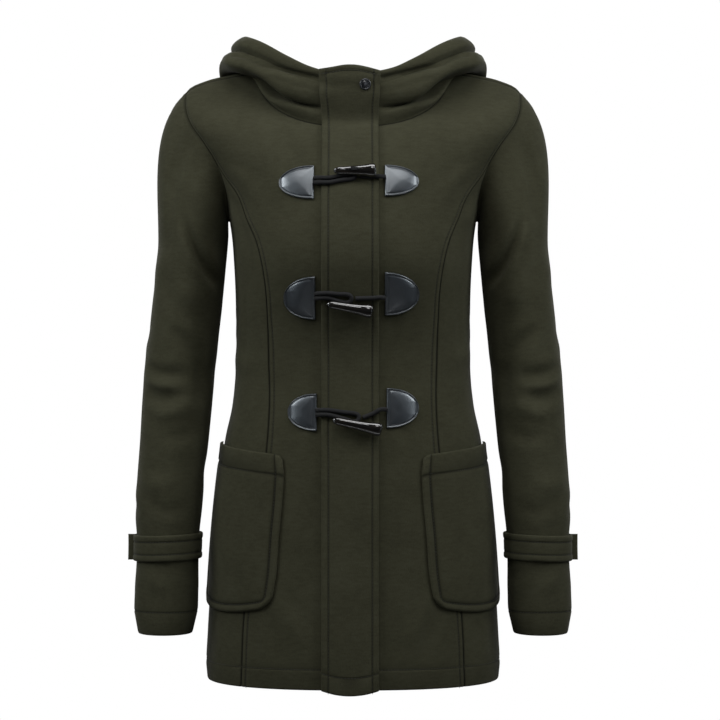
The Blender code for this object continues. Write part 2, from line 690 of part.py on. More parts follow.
def cuff_strap(side, name):
    """A strap round the cuff, its squared end standing out on the outer side."""
    angles = np.linspace(5.0, 352.0, 24)
    rows = []
    for share in (0.0, 0.5, 1.0):
        height = STRAP_MIDDLE + STRAP_HEIGHT * (share - 0.5) - 1.5 * np.cos(np.radians(angles))
        ring = arm_ring(angles, height)
        lift = swell(SLEEVE_FOLDS, angles, height)
        outward = unit(ring - ring.mean(axis=0) * np.array([1, 1, 1])) * np.array([1, 1, 0])
        ring = ring + unit(outward) * (STRAP_OFFSET + 0.6 + lift[:, None])
        tab = [ring[-1] + np.array([reach, 0.6, 0.0]) for reach in (4.5, STRAP_TAB)]
        rows.append(np.concatenate([ring, np.stack(tab)]))
    points = np.stack(rows)
    facing = grid_normals(points)
    middle = points[:, :24].mean(axis=(0, 1))
    facing *= np.sign(np.sum(facing[:, :20] * (points[:, :20] - middle)))
    flip = np.array([side, 1, 1])
    return wall_object(name, points * flip, facing * flip, WALL, "cloth")


def patch(name, inner, outer, high, low):
    """A D-shaped leather patch laid on the front, its straight edge inwards."""
    out = np.array([0.0, 0.3, 0.55, 0.76, 0.9, 0.985])
    half = np.sqrt(1 - out**2.3)
    across = np.linspace(-1, 1, 7)
    distance = inner + (outer - inner) * out[:, None] + 0.0 * across[None, :]
    middle, reach = (high + low) / 2, (high - low) / 2
    height = middle + reach * half[:, None] * across[None, :]
    lift = np.full(distance.shape, WALL / 2 + LAID_GAP + PATCH_EASE + PATCH_WALL / 2)
    turn, along = front_place(distance, height)
    normal = body_normal(turn, along)
    points = body(turn, along) + normal * lift[..., None]
    return wall_object(name, points, normal, PATCH_WALL, "leather")


def horn(name, thin, thick):
    """A toggle: a flattened, tapering piece of horn that lies over the cords."""
    lift = PLACKET_WALL / 2 + LAID_GAP + 2 * CORD_RADIUS + LAID_GAP
    start = over_placket(thin[0], thin[1], lift + 3.2)
    end = over_placket(thick[0], thick[1], lift + 5.9)
    axis = unit(end - start)
    upward = unit(np.cross(axis, np.array([0.0, -1.0, 0.0])))
    upward = upward * np.sign(upward[2])
    forward = np.cross(upward, axis)
    vertices, faces = [], []
    turns = np.radians(np.arange(HORN_SIDES) * 360.0 / HORN_SIDES)
    for share, radius in HORN_PROFILE:
        middle = start + (end - start) * share
        for turn in turns:
            reach = upward * math.sin(turn) + forward * math.cos(turn) * HORN_FLATNESS
            vertices.append(middle + reach * radius)
    for ring in range(len(HORN_PROFILE) - 1):
        for step in range(HORN_SIDES):
            a, b = ring * HORN_SIDES + step, ring * HORN_SIDES + (step + 1) % HORN_SIDES
            faces.append((a, b, b + HORN_SIDES, a + HORN_SIDES))
    faces.append(tuple(reversed(range(HORN_SIDES))))
    last = (len(HORN_PROFILE) - 1) * HORN_SIDES
    faces.append(tuple(range(last, last + HORN_SIDES)))
    return mesh_object(name, np.array(vertices), faces, "horn")


def tube(name, route, radius, colour):
    """A round cord along a smooth route, with filled ends."""
    gaps = np.linalg.norm(np.diff(route, axis=0), axis=1)
    levels = np.concatenate([[0.0], np.cumsum(gaps)])
    steps = np.linspace(0, levels[-1], max(8, int(levels[-1] / (radius * 2))))
    rows = [(level, *point) for level, point in zip(levels, route)]
    points = np.stack(smooth_columns(rows, steps), axis=-1)
    curve = bpy.data.curves.new(name, "CURVE")
    curve.dimensions = "3D"
    spline = curve.splines.new("POLY")
    spline.points.add(len(points) - 1)
    for target, point in zip(spline.points, points):
        target.co = (*(point * MM), 1.0)
    curve.bevel_depth = radius * MM
    curve.bevel_resolution = 2
    curve.use_fill_caps = True
    curve.materials.append(material(colour))
    made = bpy.data.objects.new(name, curve)
    bpy.context.scene.collection.objects.link(made)
    return made


def cords(number, row):
    """The doubled loop from the right patch and the anchor from the left one."""
    lying = PLACKET_WALL / 2 + LAID_GAP + CORD_RADIUS
    right_x, left_x = row["patch_right"][0], row["patch_left"][0]
    bend_x = (row["thin"][0] + row["thick"][0]) / 2 + 1.0
    bend_z, bend_reach = row["bend"]
    low = WALL / 2 + LAID_GAP + CORD_RADIUS + 1.4
    near = on_front(np.array([right_x + 0.6]), np.array([row["cord_right"]]), np.array([low]))[0]
    upper, lower = [], []
    for spread, strand in ((CORD_SPREAD, upper), (-CORD_SPREAD, lower)):
        strand.append(near + np.array([0.0, 0.0, spread]))
        height = row["cord_right"] + spread
        strand.append(over_placket(PLACKET_RIGHT - 1.6, height, lying + 0.9))
        strand.append(over_placket(PLACKET_RIGHT + 7.0, height, lying + 0.2))
        opened = bend_z + math.copysign(bend_reach, spread)
        strand.append(over_placket(bend_x - 14.0, 0.3 * height + 0.7 * opened, lying))
    turn_round = []
    for angle in (90.0, 45.0, 0.0, -45.0, -90.0):
        reach = bend_reach * math.cos(math.radians(angle))
        rise = bend_reach * math.sin(math.radians(angle))
        turn_round.append(over_placket(bend_x - 4.0 + reach, bend_z + rise, lying))
    loop = upper + turn_round + lower[::-1]
    tube(f"loop_cord_{number}", np.array(loop), CORD_RADIUS, "cord")
    far = on_front(np.array([left_x - 0.6]), np.array([row["cord_left"]]), np.array([low]))[0]
    anchor = [far, over_placket(PLACKET_LEFT + 2.2, row["cord_left"], lying + 0.9),
              over_placket(PLACKET_LEFT - 7.0, (row["cord_left"] + bend_z) / 2, lying + 0.2),
              over_placket(bend_x + 5.0, bend_z, lying)]
    tube(f"anchor_cord_{number}", np.array(anchor), CORD_RADIUS, "cord")


def snap():
    """The small cap of a press stud near the top of the placket."""
    lift = PLACKET_WALL / 2 + LAID_GAP + SNAP_EASE
    foot = over_placket(SNAP_PLACE[0], SNAP_PLACE[1], lift)
    head = over_placket(SNAP_PLACE[0], SNAP_PLACE[1], lift + 1.0)
    axis = unit(head - foot)
    side = unit(np.cross(axis, np.array([0.0, 0.0, 1.0])))
    up = np.cross(side, axis)
    rings = ((0.0, 0.92), (0.15, 1.0), (0.65, 1.0), (1.0, 0.8))
    sides = 20
    vertices, faces = [], []
    for rise, spread in rings:
        for step in range(sides):
            turn = 2 * math.pi * step / sides
            reach = side * math.cos(turn) + up * math.sin(turn)
            vertices.append(foot + axis * SNAP_HEIGHT * rise + reach * SNAP_RADIUS * spread)
    for ring in range(len(rings) - 1):
        for step in range(sides):
            a, b = ring * sides + step, ring * sides + (step + 1) % sides
            faces.append((a, b, b + sides, a + sides))
    faces.append(tuple(reversed(range(sides))))
    faces.append(tuple(range(3 * sides, 4 * sides)))
    return mesh_object("snap", np.array(vertices), faces, "metal")


def lashing():
    """The wrap of cord through the top toggle's holes, on its face."""
    row = TOGGLE_SETS[0]
    lift = PLACKET_WALL / 2 + 2 * LAID_GAP + 2 * CORD_RADIUS
    middle_x = (row["thin"][0] + row["thick"][0]) / 2 - 0.8
    middle_z = (row["thin"][1] + row["thick"][1]) / 2
    foot = over_placket(middle_x, middle_z, lift + 4.6 + 5.6 * HORN_FLATNESS + 0.4)
    sides, vertices, faces = 12, [], []
    for depth, spread in ((0.0, 0.8), (0.6, 1.0), (1.6, 0.6)):
        for step in range(sides):
            turn = 2 * math.pi * step / sides
            offset = np.array([6.0 * math.cos(turn), 0.0, 2.0 * math.sin(turn)]) * spread
            vertices.append(foot + offset + np.array([0.0, -depth, 0.0]))
    for ring in range(2):
        for step in range(sides):
            a, b = ring * sides + step, ring * sides + (step + 1) % sides
            faces.append((a, b, b + sides, a + sides))
    faces.append(tuple(reversed(range(sides))))
    faces.append(tuple(range(2 * sides, 3 * sides)))
    return mesh_object("lashing", np.array(vertices), faces, "cord")


def main():
    """Build the coat."""
    clear_scene()
    for side, word in ((1, "left"), (-1, "right")):
        front_panel(side, f"front_{word}")
        side_panel(side, f"side_front_{word}")
        sleeve(side, f"sleeve_{word}")
        hood_half(side, f"hood_{word}")
        pocket(side, f"pocket_{word}")
        cuff_strap(side, f"cuff_strap_{word}")
    back_panel()
    placket_object()
    for number, row in enumerate(TOGGLE_SETS, start=1):
        patch(f"patch_right_{number}", *row["patch_right"])
        patch(f"patch_left_{number}", *row["patch_left"])
        horn(f"toggle_{number}", row["thin"], row["thick"])
        cords(number, row)
    snap()
    lashing()


if __name__ == "__main__":
    main()
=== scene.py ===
"""The looks of a hooded toggle coat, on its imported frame.

Forms are worked out in millimetres and become metres when a mesh is made. A
place on the body is a turn, in degrees from the centre front towards the
wearer's left, and an along, the distance up the cloth's rings from the hem.
"""

import logging
import math
from dataclasses import dataclass, field
from enum import Enum
from typing import Callable, Optional, Sequence

import bpy
import numpy as np
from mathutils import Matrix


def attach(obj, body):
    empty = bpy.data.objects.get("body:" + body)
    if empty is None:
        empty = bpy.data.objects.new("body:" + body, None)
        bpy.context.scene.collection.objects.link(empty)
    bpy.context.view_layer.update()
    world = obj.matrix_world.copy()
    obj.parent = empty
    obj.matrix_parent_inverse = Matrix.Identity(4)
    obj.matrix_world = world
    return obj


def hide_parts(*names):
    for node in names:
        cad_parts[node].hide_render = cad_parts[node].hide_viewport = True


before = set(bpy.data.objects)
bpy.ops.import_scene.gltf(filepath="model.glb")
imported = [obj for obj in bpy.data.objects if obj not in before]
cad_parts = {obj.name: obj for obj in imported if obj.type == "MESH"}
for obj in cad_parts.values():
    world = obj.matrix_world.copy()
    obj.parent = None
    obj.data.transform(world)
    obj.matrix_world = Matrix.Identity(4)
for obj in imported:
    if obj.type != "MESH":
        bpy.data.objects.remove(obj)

LOG = logging.getLogger("coat")
MM = 0.001
GAP = 0.3  # between two pieces, in millimetres
CLOTH_FACE = 1.5  # from the middle of the body's cloth to its outer face
EDGE_SHARE = 0.45  # the part of a strip that the steps of one edge may take
FAR_AWAY = 1e9

Array = np.ndarray
Surface = Callable[[Array, Array], Array]
Edge = Callable[[Array], tuple[Array, Array]]

# along, height at the front, side and back, half width, front and back depth
BODY_RINGS = (
    (0, -722, -721, -724, 175.5, 135, 142), (22, -702, -702, -702, 177.0, 136, 143),
    (57, -667, -667, -667, 175.5, 135, 143), (108, -616, -616, -616, 172.5, 132, 142),
    (159, -565, -565, -565, 169.0, 129, 138), (210, -514, -514, -514, 164.5, 127, 132),
    (262, -462, -462, -462, 158.5, 124, 121), (296, -428, -428, -428, 153.5, 121, 108),
    (330, -394, -394, -394, 146.0, 118, 98), (364, -360, -360, -360, 142.0, 115, 92),
    (398, -326, -326, -326, 141.0, 115, 90), (432, -292, -292, -292, 141.0, 120, 92),
    (467, -257, -257, -257, 141.5, 130, 98), (509, -215, -215, -215, 143.5, 140, 106),
    (535, -189, -189, -189, 145.5, 139, 110), (559, -165, -165, -165, 149.0, 134, 113),
    (596, -135, -128, -130, 159.0, 126, 114), (634, -110, -90, -96, 177.0, 116, 111),
    (668, -91, -56, -66, 196.0, 107, 104), (696, -77, -27, -42, 207.0, 99, 95),
    (722, -68, -4, -24, 198.0, 93, 86), (740, -64, 4.5, -13, 179.0, 90, 80),
    (770, -61, 12.0, -6, 147.0, 87, 75), (800, -59, 18, 0, 115.0, 85, 70),
)

# along, distance of the princess seam from the centre plane
PRINCESS_SEAM = (
    (0, 131.5), (85, 128.0), (180, 115.5), (280, 101.6), (331, 98.3), (389, 98.5),
    (432, 100.2), (470, 101.3), (500, 105.0), (530, 112.8), (561, 126.3), (593, 139.1),
    (614, 152.0), (636, 163.0),
)

# turn, along, turn reach, along reach, slant in degrees per mm, height of the swell
BODY_SWELLS = (
    (33, 500, 17, 62, 0.00, 3.0), (-33, 500, 17, 62, 0.00, 3.0),
    (152, 372, 5, 95, 0.01, -3.5), (-153, 380, 5, 90, -0.01, -3.2),
    (128, 345, 22, 17, -0.35, 2.8), (-126, 352, 24, 15, 0.30, 2.6),
    (112, 395, 18, 13, -0.30, -2.4), (-110, 402, 17, 14, 0.32, -2.6),
    (68, 392, 15, 12, 0.35, 1.8), (-70, 386, 16, 12, -0.33, 2.0),
    (64, 560, 13, 15, 0.50, 1.8), (-63, 556, 13, 15, -0.48, 2.0),
    (145, 110, 9, 130, 0.02, 3.6), (-150, 95, 10, 120, -0.02, 3.2),
    (176, 60, 8, 110, 0.01, -3.0),
)

# height, inner and outer distance from the centre plane, front and back depth of the arm
SLEEVE_RINGS = (
    (-200, 154.5, 236.5, -62, 60), (-232, 157.5, 239.5, -62, 58),
    (-268, 161.0, 243.0, -61, 54), (-306, 165.0, 247.0, -61, 49),
    (-346, 168.5, 252.0, -63, 43), (-388, 172.5, 254.5, -66, 36),
    (-432, 176.5, 256.5, -70, 29), (-478, 181.0, 259.5, -74, 22),
    (-516, 184.0, 261.3, -77, 16), (-544, 187.0, 259.5, -77, 12),
    (-576, 188.0, 259.5, -78, 9), (-612, 188.0, 261.5, -80, 7),
    (-648, 190.5, 261.0, -80, 5), (-664, 195.5, 257.0, -77, 2),
)

# angle round the sleeve, height, angle reach, height reach, slant, height of the swell
SLEEVE_SWELLS = (
    (38, -196, 26, 15, 0.55, -1.2), (28, -226, 24, 15, 0.55, 0.9),
    (100, -258, 30, 16, -0.30, 2.6), (62, -372, 34, 12, -0.25, -2.8),
    (120, -392, 32, 13, 0.20, 2.4), (150, -350, 34, 14, 0.25, -2.2),
    (250, -372, 40, 13, 0.30, -2.8), (288, -402, 36, 14, -0.25, 2.4),
    (310, -240, 36, 18, -0.45, -2.6), (70, -484, 30, 13, 0.20, 2.0),
    (200, -470, 34, 15, -0.20, -2.0), (300, -505, 34, 14, 0.25, 2.2),
)

# turn, then the distance out from the neckline and the height of each hood station
HOOD_PROFILES = (
    (0, 1, -45, 1, -37, 2, -30, 3, -23, 4, -16, 4, -9, 6, -2, 5, 5, -4, -1),
    (22, 1, -44, 0, -36, 2, -29, 5, -21, 5, -13, 4, -7, 6, 0, 6, 7, -4, 1),
    (45, 5, -31, -15, -26, 9, -22, 16, -11, 12, 2, 6, 9, 10, 16, 8, 25, -3, 18),
    (57, 5, -25, -24, -16, 11, -1, 22, 6, 19, 16, 13, 21, 16, 30, 10.5, 39, 0.5, 30),
    (70, 6, -6, 8, 3, 20, 8, 36, 17, 29, 30, 20, 33, 23, 42, 14, 50, 4, 41),
    (90, 8, 26, 18, 23, 34, 17, 46, 24, 38, 37, 27, 38, 31, 48, 18, 57, 6, 47),
    (110, 8, 18, 22, 13, 44, 3, 59, -2, 58, 26, 46, 33, 45, 44, 32, 54, 20, 44),
    (130, 8, 14, 26, 4, 62, -94, 80, -90, 86, -48, 80, -6, 68, 22, 54, 38, 42, 30),
    (155, 7, 14, 22, 8, 60, -144, 80, -142, 90, -84, 84, -28, 72, 12, 59, 31, 48, 23),
    (180, 6, 13, 20, 9, 57, -168, 78, -167, 91, -100, 85, -38, 73, 8, 61, 27, 50, 19),
)
HOOD_LEVELS = (
    0.5, 1, 1.5, 2, 2.25, 2.5, 2.75, 3, 3.5, 4, 4.5, 5, 5.5, 6, 6.5, 7, 7.5, 8, 8.5, 9)
NECK_FOLD = ((0, 48), (22, 50), (45, 70), (70, 105), (90, 135), (130, 130), (180, 115))

# along and distance from the centre plane of the pocket's inner edge, bottom first
POCKET_INNER = ((99, 95.0), (134, 89.0), (182, 85.5), (229, 81.3), (262, 80.0), (276, 81.0))


@dataclass(frozen=True)
class Crease:
    """A soft fold in the cloth, drawn along a short line.

    The line's places are (turn, along) on the body and (angle, height) on a
    sleeve. A rise below zero is a trough, with low ridges beside it.
    """

    line: tuple[tuple[float, float], ...]
    reach: float
    rise: float


BODY_CREASES = (
    # from the front of the armholes, over the bust
    Crease(((63, 640), (50, 600), (43, 548)), 11, 1.7),
    Crease(((70, 600), (58, 560), (52, 505)), 8, -1.5),
    Crease(((-64, 634), (-52, 596), (-44, 540)), 11, 1.8),
    Crease(((-71, 596), (-60, 552), (-53, 498)), 8, -1.6),
    Crease(((40, 690), (30, 652), (26, 610)), 12, -0.9),
    Crease(((-42, 694), (-31, 655), (-25, 606)), 12, -1.0),
    # down the waist beside the princess seams
    Crease(((52, 446), (50, 400), (49, 348)), 7, 1.5),
    Crease(((60, 470), (63, 420), (66, 380)), 8, -1.4),
    Crease(((-53, 452), (-50, 404), (-48, 352)), 7, 1.6),
    Crease(((-61, 474), (-64, 428), (-67, 372)), 8, -1.5),
    Crease(((24, 470), (22, 420), (19, 366)), 9, -0.9),
    Crease(((-26, 476), (-23, 430), (-20, 370)), 9, -1.0),
    Crease(((-20, 340), (-25, 300), (-27, 262)), 8, 0.9),
    Crease(((19, 330), (24, 292), (28, 250)), 8, 0.9),
    # the skirt, below the pockets and beside the placket
    Crease(((38, 120), (32, 82), (24, 52)), 9, 1.3),
    Crease(((42, 98), (37, 70), (34, 30)), 7, -1.1),
    Crease(((-37, 118), (-31, 84), (-22, 50)), 9, 1.4),
    Crease(((-42, 96), (-38, 66), (-35, 28)), 7, -1.2),
    Crease(((66, 84), (64, 50), (63, 26)), 8, 0.9),
    Crease(((-64, 86), (-66, 52), (-67, 26)), 8, 0.9),
    Crease(((22, 240), (20, 170), (21, 108)), 12, -0.8),
    Crease(((-21, 236), (-23, 166), (-20, 112)), 12, -0.8),
    # side and back waist
    Crease(((84, 440), (98, 418), (116, 408)), 8, -1.8),
    Crease(((96, 392), (110, 372), (130, 364)), 9, 2.0),
    Crease(((88, 356), (104, 342), (120, 338)), 8, -1.6),
    Crease(((-84, 436), (-99, 420), (-118, 404)), 8, -1.9),
    Crease(((-95, 388), (-112, 376), (-132, 360)), 9, 2.0),
    Crease(((-89, 352), (-103, 344), (-122, 334)), 8, -1.6),
    Crease(((148, 330), (162, 322), (178, 326)), 9, -1.9),
    Crease(((158, 356), (172, 350), (190, 354)), 10, 1.9),
    Crease(((-176, 386), (-164, 378), (-150, 382)), 8, -1.6),
    Crease(((140, 402), (154, 392), (168, 396)), 8, 1.5),
    # back shoulders and skirt
    Crease(((118, 640), (130, 610), (136, 566)), 10, -1.8),
    Crease(((-117, 636), (-131, 604), (-137, 560)), 10, -1.9),
    Crease(((132, 600), (146, 560), (150, 510)), 12, 1.6),
    Crease(((-131, 604), (-147, 566), (-152, 512)), 12, 1.6),
    Crease(((132, 240), (130, 160), (127, 70)), 14, 2.2),
    Crease(((158, 250), (160, 170), (162, 60)), 13, -2.0),
    Crease(((-128, 236), (-131, 150), (-133, 64)), 14, 2.1),
    Crease(((-160, 248), (-163, 160), (-165, 66)), 13, -2.0),
    Crease(((100, 230), (103, 150), (104, 74)), 11, -1.6),
    Crease(((-101, 226), (-102, 146), (-105, 70)), 11, -1.5),
)

SLEEVE_CREASES = (
    # the deep slanting fold below the front of the armhole, and what echoes it
    Crease(((80, -166), (96, -196), (125, -230), (152, -246)), 5.5, -6.5),
    Crease(((62, -158), (80, -206), (106, -252)), 10, 1.6),
    Crease(((112, -176), (134, -208), (158, -226)), 9, 1.8),
    Crease(((40, -214), (66, -256), (104, -296)), 12, -1.4),
    # elbow, front
    Crease(((69, -294), (92, -312), (128, -336)), 8, -3.4),
    Crease(((20, -342), (60, -350), (106, -357)), 7, -3.4),
    Crease(((30, -360), (70, -366), (113, -369)), 6.5, 3.6),
    Crease(((116, -328), (132, -356), (140, -392)), 8, -3.0),
    Crease(((28, -376), (60, -383), (96, -385)), 7, -2.4),
    Crease(((56, -402), (90, -398), (118, -381)), 9, 2.6),
    Crease(((66, -424), (104, -428), (146, -414)), 8, -2.0),
    # elbow, back and side
    Crease(((232, -330), (262, -350), (300, -356)), 10, -2.2),
    Crease(((228, -366), (266, -384), (308, -388)), 11, 2.4),
    Crease(((240, -402), (276, -414), (318, -410)), 9, -2.0),
    Crease(((330, -300), (352, -318), (376, -322)), 10, 1.4),
    Crease(((206, -250), (232, -280), (262, -296)), 12, -1.6),
    Crease(((284, -210), (314, -250), (340, -276)), 14, 1.5),
    # forearm, above and below the strap
    Crease(((30, -470), (66, -486), (100, -488)), 10, 1.5),
    Crease(((60, -508), (96, -516), (140, -506)), 8, -1.5),
    Crease(((344, -500), (372, -514), (396, -520)), 9, -1.3),
    Crease(((200, -520), (244, -526), (286, -516)), 9, 1.6),
    Crease(((46, -586), (74, -602), (98, -612)), 8, 1.2),
    Crease(((120, -584), (146, -594), (170, -592)), 8, -1.3),
    Crease(((300, -590), (330, -604), (352, -606)), 9, 1.2),
)


# distance from the centre plane and height, seen from the front, of the hood's crease
# below its rim
HOOD_CREASE = ((140, 31.5), (122, 26.5), (106, 16.5), (87.5, 12.6), (68.8, 7.3), (38.3, -0.7))


def smooth_columns(rows: Sequence[Sequence[float]], level: Array) -> Array:
    """The columns after a table's first, read at some levels along smooth cubics.

    Args:
        rows: the table, its first column rising.
        level: where to read it.
    Returns:
        One array for each further column, shaped as the levels.
    """
    table = np.array(rows, dtype=float)
    return np.moveaxis(smooth_between(table[:, 0], table[:, 1:], level), -1, 0)


def smooth_between(knots: Array, values: Array, level: Array) -> Array:
    """Values read between their knots along smooth cubics.

    Args:
        knots: rising places of the values.
        values: the values, knots first.
        level: where to read them.
    Returns:
        An array shaped as the levels, with the values' other axes last.
    """
    slopes = np.gradient(values, knots, axis=0)
    level = np.clip(np.asarray(level, dtype=float), knots[0], knots[-1])
    index = np.clip(np.searchsorted(knots, level, side="right") - 1, 0, len(knots) - 2)
    shape = level.shape + (1,) * (values.ndim - 1)
    span = (knots[index + 1] - knots[index]).reshape(shape)
    share = (level - knots[index]).reshape(shape) / span
    result = (2 * share**3 - 3 * share**2 + 1) * values[index]
    result += (share**3 - 2 * share**2 + share) * span * slopes[index]
    result += (3 * share**2 - 2 * share**3) * values[index + 1]
    result += (share**3 - share**2) * span * slopes[index + 1]
    return result


def unit(vectors: Array) -> Array:
    """The vectors at length one."""
    return vectors / np.maximum(np.linalg.norm(vectors, axis=-1, keepdims=True), 1e-9)


def angle_between(turn: Array, middle: float) -> Array:
    """The signed difference of two turns, within half a circle."""
    return (turn - middle + 180.0) % 360.0 - 180.0


def swell(rows: Sequence[Sequence[float]], turn: Array, level: Array) -> Array:
    """The summed height of a table of slanted, soft-edged swells.

    Args:
        rows: the swells, as (turn, level, turn reach, level reach, slant, rise).
        turn: turns of the places, in degrees.
        level: their levels, in millimetres.
    Returns:
        The height at each place.
    """
    height = np.zeros(np.broadcast(turn, level).shape)
    for middle, centre, reach, span, slant, rise in rows:
        across = angle_between(turn - slant * (level - centre), middle) / reach
        height += rise * np.exp(-across**2 - ((level - centre) / span) ** 2)
    return height


def nearest_on_line(line: Array, x: Array, y: Array) -> tuple[Array, Array, Array]:
    """How some places of a plane lie to a line in it.

    Args:
        line: the line's points.
        x: the places' first coordinate.
        y: their second coordinate.
    Returns:
        The distance, the side, 1 on the left of the line's direction and -1 on the
        right, and the share of the line at the nearest point.
    """
    nearest = np.full(np.broadcast(x, y).shape, FAR_AWAY)
    share, side = np.zeros(nearest.shape), np.ones(nearest.shape)
    for step, ((ax, ay), (bx, by)) in enumerate(zip(line[:-1], line[1:])):
        length = (bx - ax) ** 2 + (by - ay) ** 2
        t = np.clip(((x - ax) * (bx - ax) + (y - ay) * (by - ay)) / length, 0, 1)
        away = np.hypot(x - ax - t * (bx - ax), y - ay - t * (by - ay))
        turn = (bx - ax) * (y - ay) - (by - ay) * (x - ax)
        closer = away < nearest
        nearest = np.where(closer, away, nearest)
        side = np.where(closer, np.sign(turn), side)
        share = np.where(closer, (step + t) / (len(line) - 1), share)
    return nearest, side, share


def crease_height(creases: Sequence[Crease], turn: Array, level: Array, radius: float) -> Array:
    """The summed height of listed creases at some places.

    Args:
        creases: the creases.
        turn: turns of the places, in degrees.
        level: their levels, in millimetres.
        radius: the radius that turns degrees into millimetres.
    Returns:
        The height at each place.
    """
    scale = math.radians(radius)
    height = np.zeros(np.broadcast(turn, level).shape)
    for crease in creases:
        line = smooth_line(crease.line, 13)
        first = float(line[0, 0])
        line = (line - [first, 0.0]) * [scale, 1.0]
        nearest, _, share = nearest_on_line(line, angle_between(turn, first) * scale, level)
        fade = np.sin(np.pi * np.clip(share, 0.02, 0.98)) ** 0.8
        width = crease.reach * (0.75 + 0.5 * share)
        core = np.exp(-((nearest / width) ** 2))
        beside = np.exp(-(((nearest - 1.9 * width) / width) ** 2))
        height += crease.rise * fade * (core - 0.32 * beside)
    return height


def smooth_line(line: Sequence[Sequence[float]], count: int) -> Array:
    """A short line drawn again with more points, along smooth cubics.

    Args:
        line: its points.
        count: how many new points.
    Returns:
        The new points.
    """
    points = np.array(line, dtype=float)
    knots = np.linspace(0.0, 1.0, len(points))
    return smooth_between(knots, points, np.linspace(0.0, 1.0, count))


def arc_lengths(points: Array) -> Array:
    """Distance of each point from the first along the grid's first axis."""
    steps = np.linalg.norm(np.diff(points, axis=0), axis=-1)
    return np.concatenate([np.zeros((1, *steps.shape[1:])), np.cumsum(steps, axis=0)])


def across(points: Array) -> Array:
    """A grid with its rows and columns changed over."""
    return points.transpose(1, 0, 2)


def grid_normals(points: Array) -> Array:
    """Normals of a grid of points, from its neighbours along both axes."""
    return unit(np.cross(np.gradient(points, axis=1), np.gradient(points, axis=0)))


def even_line(points: Array, spacing: float) -> Array:
    """A line's points laid again at an even spacing.

    Args:
        points: the line, with any further values beside its three coordinates.
        spacing: the distance wanted between points, in millimetres.
    Returns:
        The new points, with the further values read at the same places.
    """
    lengths = arc_lengths(points[:, :3])
    count = max(2, int(round(lengths[-1] / spacing)) + 1)
    places = np.linspace(0.0, lengths[-1], count)
    return np.stack([np.interp(places, lengths, column) for column in points.T], axis=-1)


@dataclass(frozen=True)
class BodyForm:
    """The curved surface that the body's panels lie in."""

    roundness: float = 2.35
    top: float = 800.0
    foot_height: float = -724.0
    crease_radius: float = 150.0

    def base(self, turn: Array, along: Array) -> Array:
        """Points of the body before its folds.

        Args:
            turn: turns of the places, in degrees.
            along: their alongs, in millimetres.
        Returns:
            The points.
        """
        front, side, back, half_width, front_depth, back_depth = smooth_columns(BODY_RINGS, along)
        sine, cosine = np.sin(np.radians(turn)), np.cos(np.radians(turn))
        depth = np.where(cosine > 0, front_depth, back_depth)
        power = self.roundness
        reach = (np.abs(sine) / half_width) ** power + (np.abs(cosine) / depth) ** power
        radius = reach ** (-1.0 / power)
        share = radius * np.abs(cosine) / depth
        height = side + (np.where(cosine > 0, front, back) - side) * share
        return np.stack([radius * sine, -radius * cosine, height], axis=-1)

    def normal_of(self, surface: Surface, turn: Array, along: Array) -> Array:
        """Outward normals of a surface of turn and along.

        Args:
            surface: gives points of it.
            turn: turns of the places.
            along: their alongs.
        Returns:
            The normals.
        """
        by_turn = surface(turn + 0.2, along) - surface(turn - 0.2, along)
        upper = np.minimum(along + 0.4, self.top)
        by_along = surface(turn, upper) - surface(turn, np.maximum(upper - 0.8, 0.0))
        return unit(np.cross(by_turn, by_along))

    def points(self, turn: Array, along: Array) -> Array:
        """Points of the middle of the body's cloth."""
        lift = swell(BODY_SWELLS, turn, along)[..., None]
        return self.base(turn, along) + self.normal_of(self.base, turn, along) * lift

    def normals(self, turn: Array, along: Array) -> Array:
        """Outward normals of the body's cloth."""
        return self.normal_of(self.points, turn, along)

    def creases(self, turn: Array, along: Array) -> Array:
        """Height of the listed creases, which die out at the neckline."""
        fade = np.clip((self.top - along) / 60.0, 0.0, 1.0)
        return fade * crease_height(BODY_CREASES, turn, along, self.crease_radius)

    def turn_at(self, distance: Array, along: Array) -> Array:
        """The turn at which a front ring lies that far from the centre plane.

        Args:
            distance: the distance.
            along: the ring's along.
        Returns:
            The turn, in degrees.
        """
        _, _, _, half_width, front_depth, _ = smooth_columns(BODY_RINGS, along)
        share = np.clip(np.abs(distance) / half_width, 0.0, 1.0)
        depth = front_depth * (1.0 - share**self.roundness) ** (1.0 / self.roundness)
        return np.degrees(np.arctan2(distance, depth))

    def front_place(self, distance: Array, height: Array) -> tuple[Array, Array]:
        """Where a front point lies on the body.

        Args:
            distance: its distance from the centre plane.
            height: its height.
        Returns:
            Its turn and along.
        """
        along = np.clip(height - self.foot_height, 0.0, self.top) + 0.0 * distance
        for _ in range(12):
            low = np.clip(along - 2.0, 0.0, self.top - 4.0)
            turn = self.turn_at(distance, along)
            slope = (self.base(turn, low + 4.0) - self.base(turn, low))[..., 2] / 4.0
            miss = height - self.base(turn, along)[..., 2]
            along = np.clip(along + miss / np.maximum(slope, 0.2), 0.0, self.top)
        return self.turn_at(distance, along), along


@dataclass(frozen=True)
class ArmholeForm:
    """The egg-shaped loop that a sleeve is sewn to."""

    middle: float = 636.0
    half_height: float = 80.0
    front_turn: float = 19.0
    back_turn: float = 18.0
    scoop: float = 0.1

    @property
    def foot(self) -> float:
        """The along of the hole's lowest point."""
        return self.middle - self.half_height

    @property
    def crown(self) -> float:
        """The along of the hole's highest point, where the shoulder seam meets it."""
        return self.middle + self.half_height

    def place(self, angle: Array) -> tuple[Array, Array]:
        """Places round the hole.

        Args:
            angle: 0 at its top, 90 at its front and 180 at its foot.
        Returns:
            Their turns and alongs.
        """
        rise, run = np.cos(np.radians(angle)), np.sin(np.radians(angle))
        reach = np.where(run > 0, self.front_turn, self.back_turn)
        return 90.0 - reach * run * (1 - self.scoop * rise), self.middle + self.half_height * rise


